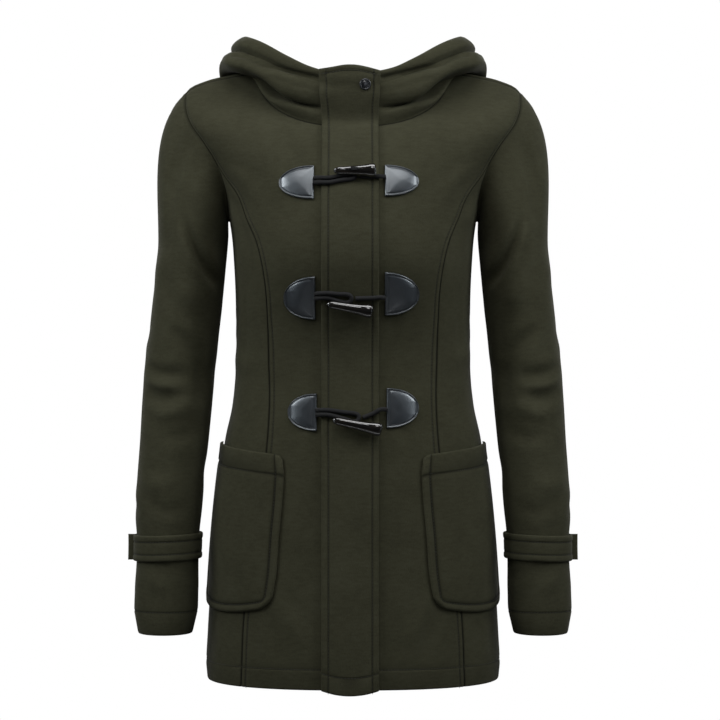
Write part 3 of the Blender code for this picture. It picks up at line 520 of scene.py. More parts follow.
BODY = BodyForm()
ARMHOLE = ArmholeForm()


class EdgeKind(Enum):
    """How an edge of a cloth piece is finished."""

    SEAM = "seam"
    FOLDED = "folded"
    HIDDEN = "hidden"


@dataclass(frozen=True)
class EdgeFinish:
    """The relief that sewing gives an edge of a cloth piece, and the shade painted into its
    grooves.

    Attributes:
        kind: a seam that meets another piece, a folded free edge, or a hidden one.
        stitches: distances of the rows of stitches from the edge.
        pad: how far the cloth swells between the edge and the first stitches.
        depth: how deep the stitches pull the cloth in.
        width: how far from the stitches that reaches.
        shade: how dark the shade painted along their line is, from 0 to 1.
    """

    kind: EdgeKind = EdgeKind.HIDDEN
    stitches: tuple[float, ...] = ()
    pad: float = 0.35
    depth: float = 0.62
    width: float = 1.15
    shade: float = 0.6

    def relief(self, distance: Array) -> Array:
        """Height of the cloth's outer face near the edge.

        Args:
            distance: distances from the edge.
        Returns:
            The height at each.
        """
        height = np.zeros(distance.shape)
        if self.kind is EdgeKind.SEAM:
            height -= 1.25 * np.exp(-distance / 1.3)
        if self.kind is EdgeKind.FOLDED:
            share = np.clip(1.0 - distance / 2.2, 0.0, 1.0)
            height -= 1.15 * (1.0 - np.sqrt(np.maximum(1.0 - share**2, 0.0)))
        for place in self.stitches:
            height -= self.depth * np.exp(-(((distance - place) / self.width) ** 2))
        if self.stitches:
            share = np.clip(distance / self.stitches[0], 0.0, 1.0)
            height += self.pad * np.sin(np.pi * share)
        return height

    def groove(self, distance: Array) -> Array:
        """How much shade is painted along the groove of a seam or of stitches.

        Args:
            distance: distances from the edge.
        Returns:
            A share from 0 to 1 at each.
        """
        pressed = np.zeros(distance.shape)
        if self.kind is EdgeKind.SEAM:
            pressed += np.exp(-((distance / 1.5) ** 2))
        for place in self.stitches:
            pressed += self.shade * np.exp(-(((distance - place) / (0.9 * self.width)) ** 2))
        return np.clip(pressed, 0.0, 1.0)

    def steps(self) -> tuple[float, ...]:
        """Distances from the edge at which the mesh needs columns.

        Returns:
            Rising distances.
        """
        places = [0.0, 0.5, 1.1, 1.9, 3.0]
        for place in self.stitches:
            places += [place - 2.2, place - 1.1, place - 0.5, place, place + 0.5, place + 1.1,
                       place + 2.2]
        return tuple(sorted(set(round(place, 2) for place in places if place >= 0.0)))


HIDDEN = EdgeFinish()
SEAM = EdgeFinish(EdgeKind.SEAM)
FREE = EdgeFinish(EdgeKind.FOLDED)


def folded(*stitches: float, **relief: float) -> EdgeFinish:
    """A folded edge with rows of stitches at some distances from it."""
    return EdgeFinish(EdgeKind.FOLDED, stitches, **relief)


def edge_steps(finish: EdgeFinish, length: float) -> Array:
    """The steps that a finish needs at one edge of a strip of that width."""
    return np.array([place for place in finish.steps() if place < length * EDGE_SHARE])


def spaced(length: float, first: EdgeFinish, last: EdgeFinish, spacing: float) -> Array:
    """Distances across a strip of cloth, close together at its sewn edges.

    Args:
        length: width of the strip, in millimetres.
        first: the finish of the edge at 0.
        last: the finish of the far edge.
        spacing: distance between columns away from the edges.
    Returns:
        Rising distances from 0 to the length.
    """
    near, far = edge_steps(first, length), length - edge_steps(last, length)[::-1]
    count = max(2, int(math.ceil((far[0] - near[-1]) / spacing)) + 1)
    return np.concatenate([near, np.linspace(near[-1], far[0], count)[1:-1], far])


@dataclass(frozen=True)
class FineGrid:
    """A coarse grid of points laid again, with steps for its sewn edges.

    Attributes:
        points: the new points.
        rows: distances of the new rows from the first.
        columns: distances of the new columns from the first.
        coarse: distances of the coarse columns.
    """

    points: Array
    rows: Array
    columns: Array
    coarse: Array

    @classmethod
    def of(
        cls, points: Array, ends: tuple[EdgeFinish, EdgeFinish], row_spacing: float,
        sides: tuple[EdgeFinish, EdgeFinish], column_spacing: float,
    ) -> "FineGrid":
        """Lay a grid again.

        Args:
            points: the coarse grid.
            ends: the finishes of its first and last row.
            row_spacing: distance wanted between rows.
            sides: the finishes of its first and last column.
            column_spacing: distance wanted between columns.
        Returns:
            The fine grid.
        """
        lengths = arc_lengths(points).mean(axis=1)
        coarse = arc_lengths(across(points)).mean(axis=1)
        rows = spaced(float(lengths[-1]), *ends, row_spacing)
        columns = spaced(float(coarse[-1]), *sides, column_spacing)
        fine = smooth_between(coarse, across(smooth_between(lengths, points, rows)), columns)
        return cls(across(fine), rows, columns, coarse)


@dataclass
class ClothShell:
    """A thin closed shell on a grid of middle points.

    Attributes:
        name: the piece's name.
        points: middle points, rows first.
        normals: outward normals.
        left: finish of the first column, and so on for the other three.
        folds: height of the folds, which move both faces.
        closed: whether the last column meets the first.
        outer: distance of the outer face from the middle.
        inner: distance of the inner face from the middle.
        outlines: distances from further edges, such as rounded ones, with their finishes.
        moulded: height of a form on the outer face alone.
    """

    name: str
    points: Array
    normals: Array
    left: EdgeFinish = HIDDEN
    right: EdgeFinish = HIDDEN
    bottom: EdgeFinish = HIDDEN
    top: EdgeFinish = HIDDEN
    folds: Optional[Array] = None
    closed: bool = False
    outer: float = CLOTH_FACE
    inner: float = 0.9
    outlines: tuple[tuple[Array, EdgeFinish], ...] = ()
    moulded: Optional[Array] = None

    def distances(self) -> dict[str, Array]:
        """Distances of the grid's points from each of its edges.

        Returns:
            One array for each edge's name.
        """
        wide = arc_lengths(across(self.points)).T
        high = arc_lengths(self.points)
        return {"left": wide, "right": wide[:, -1:] - wide, "bottom": high, "top": high[-1:] - high}

    def edges(self) -> dict[str, EdgeFinish]:
        """The edges' finishes by name."""
        return {"left": self.left, "right": self.right, "bottom": self.bottom, "top": self.top}

    def faces_of_cloth(self) -> tuple[Array, Array, Array]:
        """Both faces of the shell.

        Returns:
            Outer points, inner points and how much groove shade is painted at each place.
        """
        relief, pressed, rounding = np.zeros((3, *self.points.shape[:2]))
        distances = self.distances()
        finished = [(distances[name], finish) for name, finish in self.edges().items()
                    if not (self.closed and name in ("left", "right"))]
        for distance, finish in (*finished, *self.outlines):
            relief += finish.relief(distance)
            pressed = np.maximum(pressed, finish.groove(distance))
            if finish.kind is EdgeKind.FOLDED:
                share = np.clip(1.0 - distance / 1.6, 0.0, 1.0)
                rounding = np.maximum(rounding, 1.0 - np.sqrt(np.maximum(1.0 - share**2, 0.0)))
        if self.moulded is not None:
            relief += self.moulded
        folds = 0.0 * relief if self.folds is None else self.folds
        outer = self.points + self.normals * (folds + self.outer + relief)[..., None]
        depth = folds - self.inner * (1.0 - 0.75 * rounding)
        return outer, self.points + self.normals * depth[..., None], pressed

    def seam_line(self, edge: str, distance: float) -> Array:
        """A line on the outer face at a distance from an edge.

        Args:
            edge: left, right, bottom or top.
            distance: how far from that edge, in millimetres.
        Returns:
            Rows of three coordinates and three of the normal.
        """
        outer, _, _ = self.faces_of_cloth()
        distances = self.distances()[edge]
        values = np.concatenate([outer, self.normals], axis=-1)
        if edge in ("bottom", "top"):
            values, distances = across(values), distances.T
        if edge in ("right", "top"):
            values, distances = values[:, ::-1], distances[:, ::-1]
        line = [[np.interp(distance, row, column) for column in cells.T]
                for cells, row in zip(values, distances)]
        if self.closed and edge in ("bottom", "top"):
            line.append(line[0])
        return np.array(line)

    def build(self, material: bpy.types.Material) -> bpy.types.Object:
        """The shell's object, dressed in a material.

        Args:
            material: the cloth's finish.
        Returns:
            The object.
        """
        outer, inner, pressed = self.faces_of_cloth()
        rows, columns = self.points.shape[:2]
        vertices = np.concatenate([outer.reshape(-1, 3), inner.reshape(-1, 3)])
        index = np.arange(rows * columns).reshape(rows, columns)
        if self.closed:
            index = np.concatenate([index, index[:, :1]], axis=1)
        a, b = index[:-1, :-1].ravel(), index[:-1, 1:].ravel()
        c, d = index[1:, :-1].ravel(), index[1:, 1:].ravel()
        other = rows * columns
        faces = [np.stack([a, b, d, c], 1), np.stack([a, c, d, b], 1) + other]
        rims = [(index[0, 1:], index[0, :-1]), (index[-1, :-1], index[-1, 1:])]
        if not self.closed:
            rims += [(index[:-1, 0], index[1:, 0]), (index[1:, -1], index[:-1, -1])]
        for first, second in rims:
            faces.append(np.stack([first, second, second + other, first + other], 1))
        made = mesh_piece(self.name, vertices, np.concatenate(faces), material)
        distances = self.distances()
        place = np.stack([distances["left"], distances["bottom"], 0 * distances["left"]], axis=-1)
        add_values(made, "cloth_mm", np.concatenate([place.reshape(-1, 3)] * 2), "FLOAT_VECTOR")
        # painted shade along seams and stitch lines, for the cloth's colour to read; the inner face
        # gets none
        add_values(made, "pressed", np.concatenate([pressed, 0 * pressed]), "FLOAT")
        return made


def add_values(made: bpy.types.Object, name: str, values: Array, kind: str) -> None:
    """Give each point of a mesh its own value, for its material to read.

    Args:
        made: the piece.
        name: the value's name.
        values: one for each point.
        kind: their type.
    """
    layer = made.data.attributes.new(name, kind, "POINT")
    key = "vector" if kind == "FLOAT_VECTOR" else "value"
    layer.data.foreach_set(key, np.asarray(values, dtype=np.float32).ravel())


def tube_walls(rings: int, sides: int) -> list[tuple[int, ...]]:
    """Faces that join rings of points, each ring to the next.

    Args:
        rings: how many rings.
        sides: points in each.
    Returns:
        Corner numbers of each face.
    """
    index = np.arange(rings * sides).reshape(rings, sides)
    after = np.roll(index, -1, axis=1)
    walls = np.stack([index[:-1], after[:-1], after[1:], index[1:]], axis=-1)
    return [tuple(face) for face in walls.reshape(-1, 4)]


def closed_tube(rings: Array, ends: tuple[Array, Array]) -> tuple[Array, list[tuple[int, ...]]]:
    """A tube between two end points.

    Args:
        rings: its points, rings first.
        ends: the middle of each end.
    Returns:
        All points, and the corner numbers of each face.
    """
    count, sides = rings.shape[:2]
    first, last, foot = count * sides, count * sides + 1, (count - 1) * sides
    steps = [(k, (k + 1) % sides) for k in range(sides)]
    faces = tube_walls(count, sides)
    faces += [(after, here, first) for here, after in steps]
    faces += [(foot + here, foot + after, last) for here, after in steps]
    return np.concatenate([rings.reshape(-1, 3), np.stack(ends)]), faces


def mesh_piece(
    name: str, vertices: Array, faces: Sequence, material: bpy.types.Material
) -> bpy.types.Object:
    """A smooth-shaded object from points in millimetres, its faces turned outwards.

    Args:
        name: the object's name.
        vertices: points in millimetres.
        faces: corner numbers of each face.
        material: the finish.
    Returns:
        The object, linked to the scene.
    """
    corners = [tuple(int(corner) for corner in face) for face in faces]
    fans = [(face[0], face[at], face[at + 1]) for face in corners for at in range(1, len(face) - 1)]
    a, b, c = np.moveaxis(vertices[np.array(fans)], 1, 0)
    if np.sum(a * np.cross(b, c)) < 0:  # the volume, below zero where faces turn inwards
        corners = [tuple(reversed(face)) for face in corners]
    mesh = bpy.data.meshes.new(name)
    mesh.from_pydata((vertices * MM).tolist(), [], corners)
    mesh.shade_smooth()
    mesh.materials.append(material)
    made = bpy.data.objects.new(name, mesh)
    bpy.context.scene.collection.objects.link(made)
    return made


# along a stitch, down in parts of the thread's radius, and the share of that radius
STITCH_PROFILE = ((-0.5, -0.45, 0.5), (-0.3, 0.0, 1.0), (0.3, 0.0, 1.0), (0.5, -0.45, 0.5))


@dataclass
class Thread:
    """Rows of short stitches of one thread, gathered into one mesh.

    Attributes:
        name: the piece's name.
        radius: half the thread's thickness.
        stitch: the length of thread that shows in a stitch.
        pitch: distance from a stitch to the next.
        sides: faces round the thread.
    """

    name: str
    radius: float = 0.36
    stitch: float = 2.9
    pitch: float = 3.7
    sides: int = 5
    vertices: list[Array] = field(default_factory=list)
    faces: list[Array] = field(default_factory=list)
    count: int = 0

    def sew(self, line: Array) -> None:
        """Lay stitches along a line.

        Args:
            line: rows of three coordinates and three of the cloth's normal.
        """
        even = even_line(line, self.pitch)
        ahead = unit(np.gradient(even[:, :3], axis=0))
        upward = unit(even[:, 3:6] - ahead * np.sum(even[:, 3:6] * ahead, axis=1, keepdims=True))
        aside = np.cross(ahead, upward)
        turns = np.radians(np.arange(self.sides) * 360.0 / self.sides)
        ring = (upward[:-1, None] * np.cos(turns)[None, :, None]
                + aside[:-1, None] * np.sin(turns)[None, :, None])
        for at, dip, thick in STITCH_PROFILE:
            middle = even[:-1, :3] + ahead[:-1] * self.stitch * at
            middle = middle + upward[:-1] * (0.12 + dip * self.radius)
            self.vertices.append((middle[:, None] + ring * self.radius * thick).reshape(-1, 3))
        ring_size = (len(even) - 1) * self.sides
        base = self.count + np.arange(0, ring_size, self.sides)[:, None]
        step = np.arange(self.sides)[None, :]
        after = (step + 1) % self.sides
        for ring_number in range(len(STITCH_PROFILE) - 1):
            low = base + ring_number * ring_size
            high = low + ring_size
            quads = np.stack([low + step, low + after, high + after, high + step], axis=-1)
            self.faces.append(quads.reshape(-1, 4))
        self.count += len(STITCH_PROFILE) * ring_size

    def build(self, material: bpy.types.Material) -> bpy.types.Object:
        """The stitches' object."""
        vertices = np.concatenate(self.vertices)
        return mesh_piece(self.name, vertices, np.concatenate(self.faces), material)


class Workshop:
    """What every sub-assembly shares: finishes, threads and how pieces are seated."""

    def __init__(self, finishes: "Finishes") -> None:
        """Start with nothing sewn.

        Args:
            finishes: the materials.
        """
        self.finishes = finishes
        self.body_thread = Thread("stitching_body")
        self.trim_thread = Thread("stitching_pockets_and_straps")
        self.hood_thread = Thread("stitching_hood_and_placket")

    def place(self, made: bpy.types.Object, slot: str, *nodes: str) -> None:
        """Seat a piece on the frame.

        Args:
            made: the piece.
            slot: not used.
            nodes: the solids that it stands for.
        """
        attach(made, "root")
        if nodes:
            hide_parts(*nodes)
        triangles = sum(len(face.vertices) - 2 for face in made.data.polygons)
        LOG.info("%s: %d triangles", made.name, triangles)

    def cloth(self, shell: ClothShell, cut: "Cut") -> None:
        """Args:
            shell: the piece, named as its solid after the word cloth.
            cut: its flat size.
        """
        made = shell.build(self.finishes.cloth)
        self.place(made, "cloth", shell.name.removeprefix("cloth_"))
        list(cut.rests_on)

    def finish_threads(self) -> None:
        """Build the stitches sewn so far."""
        for thread in (self.body_thread, self.trim_thread, self.hood_thread):
            self.place(thread.build(self.finishes.thread), "cloth")


@dataclass(frozen=True)
class Cut:
    """The flat size of a cloth piece, as cut for what shows.

    Attributes:
        width: its widest, in millimetres.
        length: its longest, in millimetres.
        area: its area, in square metres.
        rests_on: names of the pieces that it is sewn to.
    """

    width: float
    length: float
    area: float
    rests_on: tuple[str, ...]


class Side(Enum):
    """The wearer's left and right."""

    LEFT = "left"
    RIGHT = "right"

    @property
    def sign(self) -> int:
        """1 on the wearer's left and -1 on the right."""
        return 1 if self is Side.LEFT else -1


@dataclass
class BodyPanels:
    """The five panels of the body, each between two edge curves.

    A row coordinate counts from the hem: first the skirt's rows, then those beside the
    armhole, then those of the shoulder.
    """

    shop: Workshop
    skirt_rows: float = 18.0
    armhole_rows: float = 5.0
    shoulder_rows: float = 3.0
    centre_front: float = -3.0
    chest_level: float = 644.0
    upper_front: float = 156.0
    upper_back: float = 244.0
    topstitch: float = 6.5
    hem: EdgeFinish = folded(24.0)
    spacing: float = 4.2
    row_spacing: float = 4.6

    def rises(self, low: float, high: float, upper_rows: float, spacing: float) -> Array:
        """Row coordinates of a panel that reaches the neckline.

        Args:
            low: the distance from the hem to the end of the skirt's rows.
            high: the distance from there to the neckline.
            upper_rows: the row coordinates beside the armhole and the shoulder.
            spacing: the distance between rows there.
        Returns:
            Rising coordinates, close together at the hem and the neckline.
        """
        skirt = spaced(low, self.hem, HIDDEN, self.row_spacing) / low * self.skirt_rows
        upper = spaced(high, HIDDEN, SEAM, spacing) / high * upper_rows
        return np.concatenate([skirt, self.skirt_rows + upper[1:]])

    def centre_along(self, row: Array, low: float, upper_rows: float) -> Array:
        """The along of a centre line.

        Args:
            row: row coordinates.
            low: the along at the end of the skirt's rows.
            upper_rows: the row coordinates from there to the neckline.
        Returns:
            The along of each row.
        """
        high = low + (BODY.top - low) * ((row - self.skirt_rows) / upper_rows)
        return np.where(row < self.skirt_rows, low * row / self.skirt_rows, high)

    def centre_edge(self, side: Side) -> Edge:
        """The centre edge of a front, by row coordinate."""
        def edge(row: Array) -> tuple[Array, Array]:
            """The edge's turn and along."""
            rows = self.armhole_rows + self.shoulder_rows
            along = self.centre_along(row, self.chest_level, rows)
            return BODY.turn_at(self.centre_front * side.sign, along), along
        return edge

    def princess(self, row: Array) -> tuple[Array, Array]:
        """The princess seam, up to the armhole.

        Args:
            row: row coordinates.
        Returns:
            Its turn and along.
        """
        along = np.clip(row, 0, self.skirt_rows) / self.skirt_rows * ARMHOLE.middle
        (distance,) = smooth_columns(PRINCESS_SEAM, along)
        turn = BODY.turn_at(distance, along)
        reach = np.clip((row - self.skirt_rows + 1.0), 0.0, 1.0)
        last, _ = ARMHOLE.place(np.array(90.0))
        exact = BODY.turn_at(np.array(PRINCESS_SEAM[-1][1]), np.array(ARMHOLE.middle))
        return turn + (last - exact) * reach, along

    def outer_edge(self, row: Array) -> tuple[Array, Array]:
        """A front's outer edge: princess seam, armhole, then shoulder.

        Args:
            row: row coordinates.
        Returns:
            Its turn and along.
        """
        turn, along = self.princess(row)
        angle = 90.0 - 90.0 * np.clip((row - self.skirt_rows) / self.armhole_rows, 0, 1)
        hole_turn, hole_along = ARMHOLE.place(angle)
        turn = np.where(row > self.skirt_rows, hole_turn, turn)
        along = np.where(row > self.skirt_rows, hole_along, along)
        share = (row - self.skirt_rows - self.armhole_rows) / self.shoulder_rows
        shoulder = ARMHOLE.crown + (BODY.top - ARMHOLE.crown) * np.clip(share, 0, 1)
        return np.where(share > 0, 90.0, turn), np.where(share > 0, shoulder, along)

    def grid(
        self, left: Edge, right: Edge, rows: Array, finishes: tuple[EdgeFinish, EdgeFinish],
        top: Optional[Edge] = None,
    ) -> tuple[Array, Array]:
        """Places of a panel between two edges, with even columns beside its seams.

        Args:
            left: the first edge by row coordinate.
            right: the last edge.
            rows: row coordinates.
            finishes: the two edges' finishes.
            top: the panel's top edge by share across, where it isn't straight.
        Returns:
            Turns and alongs, rows first.
        """
        first, last = np.stack(left(rows), -1)[:, None], np.stack(right(rows), -1)[:, None]
        rise = ((rows - rows[0]) / (rows[-1] - rows[0]))[:, None, None]

        def place(share: Array) -> Array:
            """Turns and alongs at shares across each row."""
            spread = first + (last - first) * share[..., None]
            if top is None:
                return spread
            level = (last[-1] - first[-1]) * share[..., None]
            return spread + rise * (np.stack(top(share), -1) - first[-1] - level)

        coarse = np.broadcast_to(np.linspace(0, 1, 41), (len(rows), 41))
        places = place(coarse)
        lengths = arc_lengths(across(BODY.points(places[..., 0], places[..., 1]))).T
        widest = float(lengths[:, -1].max())
        model = spaced(widest, *finishes, self.spacing)
        near = len(edge_steps(finishes[0], widest))
        far = len(model) - len(edge_steps(finishes[1], widest))
        middle = (model[near:far] - model[near - 1]) / (model[far] - model[near - 1])
        shares = []
        for row, width in enumerate(lengths[:, -1]):
            start = min(model[near - 1], width * 0.4)
            end = width - min(widest - model[far], width * 0.4)
            wanted = np.concatenate([
                model[:near] * start / model[near - 1], start + middle * (end - start),
                width - (widest - model[far:]) * (width - end) / (widest - model[far])])
            shares.append(np.interp(wanted, lengths[row], coarse[row]))
        places = place(np.array(shares))
        return places[..., 0], places[..., 1]

    def dress(self, name: str, turn: Array, along: Array, cut: Cut, **edges: EdgeFinish) -> None:
        """Build one panel, sew its stitches and seat it.

        Args:
            name: the solid's name.
            turn: turns of its grid.
            along: alongs of its grid.
            cut: its flat size.
            edges: finishes by edge name.
        """
        points, normals = BODY.points(turn, along), BODY.normals(turn, along)
        folds = BODY.creases(turn, along)
        shell = ClothShell(f"cloth_{name}", points, normals, folds=folds, **edges)
        self.shop.cloth(shell, cut)
        for edge, finish in edges.items():
            for distance in finish.stitches:
                self.shop.body_thread.sew(shell.seam_line(edge, distance))

    def build_front(self, side: Side) -> None:
        """Build one front, with the princess seam stitched down on it.

        Args:
            side: the wearer's side.
        """
        stitched = EdgeFinish(EdgeKind.SEAM, (self.topstitch,))
        upper_rows = self.armhole_rows + self.shoulder_rows
        rows = self.rises(self.chest_level, self.upper_front, upper_rows, 4.0)
        turn, along = self.grid(self.centre_edge(side), self.outer_edge, rows, (HIDDEN, stitched))
        word = side.value
        cut = Cut(208, 760, 0.100, (f"cloth_side_front_{word}", "cloth_back", "cloth_placket"))
        self.dress(f"front_{word}", turn * side.sign, along, cut, right=stitched, bottom=self.hem,
                   top=SEAM)

    def build_side(self, side: Side) -> None:
        """Build one side front.

        Args:
            side: the wearer's side.
        """
        along_rows = spaced(ARMHOLE.middle, self.hem, SEAM, self.row_spacing)
        rows = along_rows / ARMHOLE.middle * self.skirt_rows

        def side_seam(row: Array) -> tuple[Array, Array]:
            """The side seam's turn and along."""
            return np.full(np.shape(row), 90.0), ARMHOLE.foot * row / self.skirt_rows

        def scye(share: Array) -> tuple[Array, Array]:
            """The armhole's lower front quarter."""
            return ARMHOLE.place(90.0 + 90.0 * share)

        turn, along = self.grid(self.princess, side_seam, rows, (SEAM, SEAM), scye)
        word = side.value
        cut = Cut(125, 650, 0.066, (f"cloth_front_{word}", "cloth_back"))
        self.dress(f"side_front_{word}", turn * side.sign, along, cut, left=SEAM, right=SEAM,
                   bottom=self.hem, top=SEAM)

    def build_back(self) -> None:
        """Build the back in one piece."""
        around, over = 2 * self.armhole_rows, self.shoulder_rows
        rows = self.rises(ARMHOLE.foot, self.upper_back, around + over, 4.2)

        def seam(row: Array) -> tuple[Array, Array]:
            """Turn and along of the side seam, armhole and shoulder."""
            angle = 180.0 + 180.0 * np.clip((row - self.skirt_rows) / around, 0, 1)
            turn, along = ARMHOLE.place(angle)
            along = np.where(row < self.skirt_rows, ARMHOLE.foot * row / self.skirt_rows, along)
            share = np.clip((row - self.skirt_rows - around) / over, 0, 1)
            on_shoulder = row > self.skirt_rows + around
            shoulder = ARMHOLE.crown + (BODY.top - ARMHOLE.crown) * share
            along = np.where(on_shoulder, shoulder, along)
            return np.where((row < self.skirt_rows) | on_shoulder, 90.0, turn), along

        def centre(row: Array) -> tuple[Array, Array]:
            """Turn and along of the centre back."""
            along = self.centre_along(row, ARMHOLE.foot, around + over)
            return np.full(np.shape(row), 180.0), along

        turn, along = self.grid(seam, centre, rows, (SEAM, HIDDEN))
        turn = np.concatenate([turn, 360.0 - turn[:, -2::-1]], axis=1)
        along = np.concatenate([along, along[:, -2::-1]], axis=1)
        cut = Cut(560, 760, 0.34, ("cloth_front_left", "cloth_front_right"))
        self.dress("back", turn, along, cut, left=SEAM, right=SEAM, bottom=self.hem, top=SEAM)

    def build(self) -> None:
        """Build all five panels."""
        for side in Side:
            self.build_front(side)
            self.build_side(side)
        self.build_back()


@dataclass
class Sleeve:
    """One sleeve: a tube that rolls out of the armhole seam and hangs to its cuff."""

    shop: Workshop
    side: Side
    columns: int = 104
    fold_radius: float = 3.2
    cap_rows: int = 40
    cuff: EdgeFinish = folded(28.0)
    radius: float = 42.0
    spacing: float = 4.2

    @staticmethod
    def arm_ring(angle: Array, height: Array) -> Array:
        """Points round the arm.

        Args:
            angle: the outer side at 0 and the front at 90 degrees.
            height: their heights.
        Returns:
            The points, on the wearer's left.
        """
        table = [(-row[0], *row[1:]) for row in SLEEVE_RINGS]
        inner, outer, front, back = smooth_columns(table, -np.asarray(height, float))
        x = (inner + outer) / 2 + (outer - inner) / 2 * np.cos(np.radians(angle))
        y = (front + back) / 2 + (front - back) / 2 * np.sin(np.radians(angle))
        return np.stack([x, y, height + 0.0 * x], axis=-1)

    def armhole_frame(self, angle: Array) -> tuple[Array, Array, Array]:
        """The armhole's edge on the wearer's left.

        Args:
            angle: places round it, in degrees.
        Returns:
            Edge points, directions into the hole and normals.
        """
        turn, along = ARMHOLE.place(angle)
        normal = BODY.normals(turn, along)
        ahead = BODY.points(*ARMHOLE.place(angle + 0.5)) - BODY.points(*ARMHOLE.place(angle - 0.5))
        inward = unit(np.cross(ahead, normal))
        middle = BODY.points(*ARMHOLE.place(np.array([0.0, 180.0]))).mean(axis=0)
        edge = BODY.points(turn, along)
        facing = np.sign(np.sum((middle - edge) * inward, axis=-1, keepdims=True))
        return edge, inward * facing, normal

    def grid(self) -> tuple[Array, Array, Array]:
        """The sleeve's cloth, armhole first.

        Returns:
            Middle points, normals and crease heights.
        """
        angle = np.arange(self.columns) * 360.0 / self.columns
        edge, inward, normal = self.armhole_frame(angle)
        low = np.sin(np.radians(angle / 2)) ** 2
        bend = 8.0 + 172.0 * low**1.5
        rows, fades = [], []
        for part in np.linspace(0.0, 1.0, 6):
            part = np.radians(bend * part)[:, None]
            roll = inward * np.sin(part) + normal * (1 - np.cos(part))
            rows.append(edge + self.fold_radius * roll)
            fades.append(0.0)
        part = np.radians(bend)[:, None]
        start, heading = rows[-1], inward * np.cos(part) + normal * np.sin(part)
        top, foot = float(SLEEVE_RINGS[0][0]), float(SLEEVE_RINGS[-1][0])
        end = self.arm_ring(angle, np.full(self.columns, top))
        leave = (206.0 - 174.0 * low**0.8)[:, None] * heading
        arrive = (160.0 - 125.0 * low**0.8)[:, None] * np.array([0.07, 0.0, -1.0])
        for t in np.linspace(0, 1, self.cap_rows + 1)[1:-1]:
            row = (2 * t**3 - 3 * t**2 + 1) * start + (t**3 - 2 * t**2 + t) * leave
            rows.append(row + (3 * t**2 - 2 * t**3) * end + (t**3 - t**2) * arrive)
            fades.append(float(np.clip((7 * t - 1) / 3.0, 0, 1)))
        for down in spaced(top - foot, HIDDEN, self.cuff, self.spacing):
            rows.append(self.arm_ring(angle, np.full(self.columns, top - down)))
            fades.append(1.0)
        points, fade = np.stack(rows), np.array(fades)[:, None]
        lift = swell(SLEEVE_SWELLS, angle[None], points[..., 2]) * fade
        points = points + self.facing(points) * lift[..., None]
        creases = crease_height(SLEEVE_CREASES, angle[None], points[..., 2], self.radius) * fade
        calm = np.clip((points[..., 2] - foot) / 40.0, 0.15, 1.0)
        return points, self.facing(points), creases * calm

    @staticmethod
    def facing(points: Array) -> Array:
        """Outward normals of a closed grid, from its own neighbours.

        Args:
            points: the grid.
        Returns:
            The normals.
        """
        by_column = np.roll(points, -1, axis=1) - np.roll(points, 1, axis=1)
        facing = unit(np.cross(by_column, np.gradient(points, axis=0)))
        outward = points - points.mean(axis=1, keepdims=True)
        return facing * np.sign(np.sum(facing[-9] * outward[-9]))

    def build(self) -> None:
        """Build the sleeve and sew its cuff."""
        points, normals, creases = self.grid()
        flip = np.array([self.side.sign, 1, 1])
        word = self.side.value
        shell = ClothShell(f"cloth_sleeve_{word}", points * flip, normals * flip, bottom=SEAM,
                           top=self.cuff, folds=creases, closed=True)
        on = (f"cloth_front_{word}", f"cloth_side_front_{word}", "cloth_back")
        self.shop.cloth(shell, Cut(330, 700, 0.174, on))
        self.shop.body_thread.sew(shell.seam_line("top", *self.cuff.stitches))


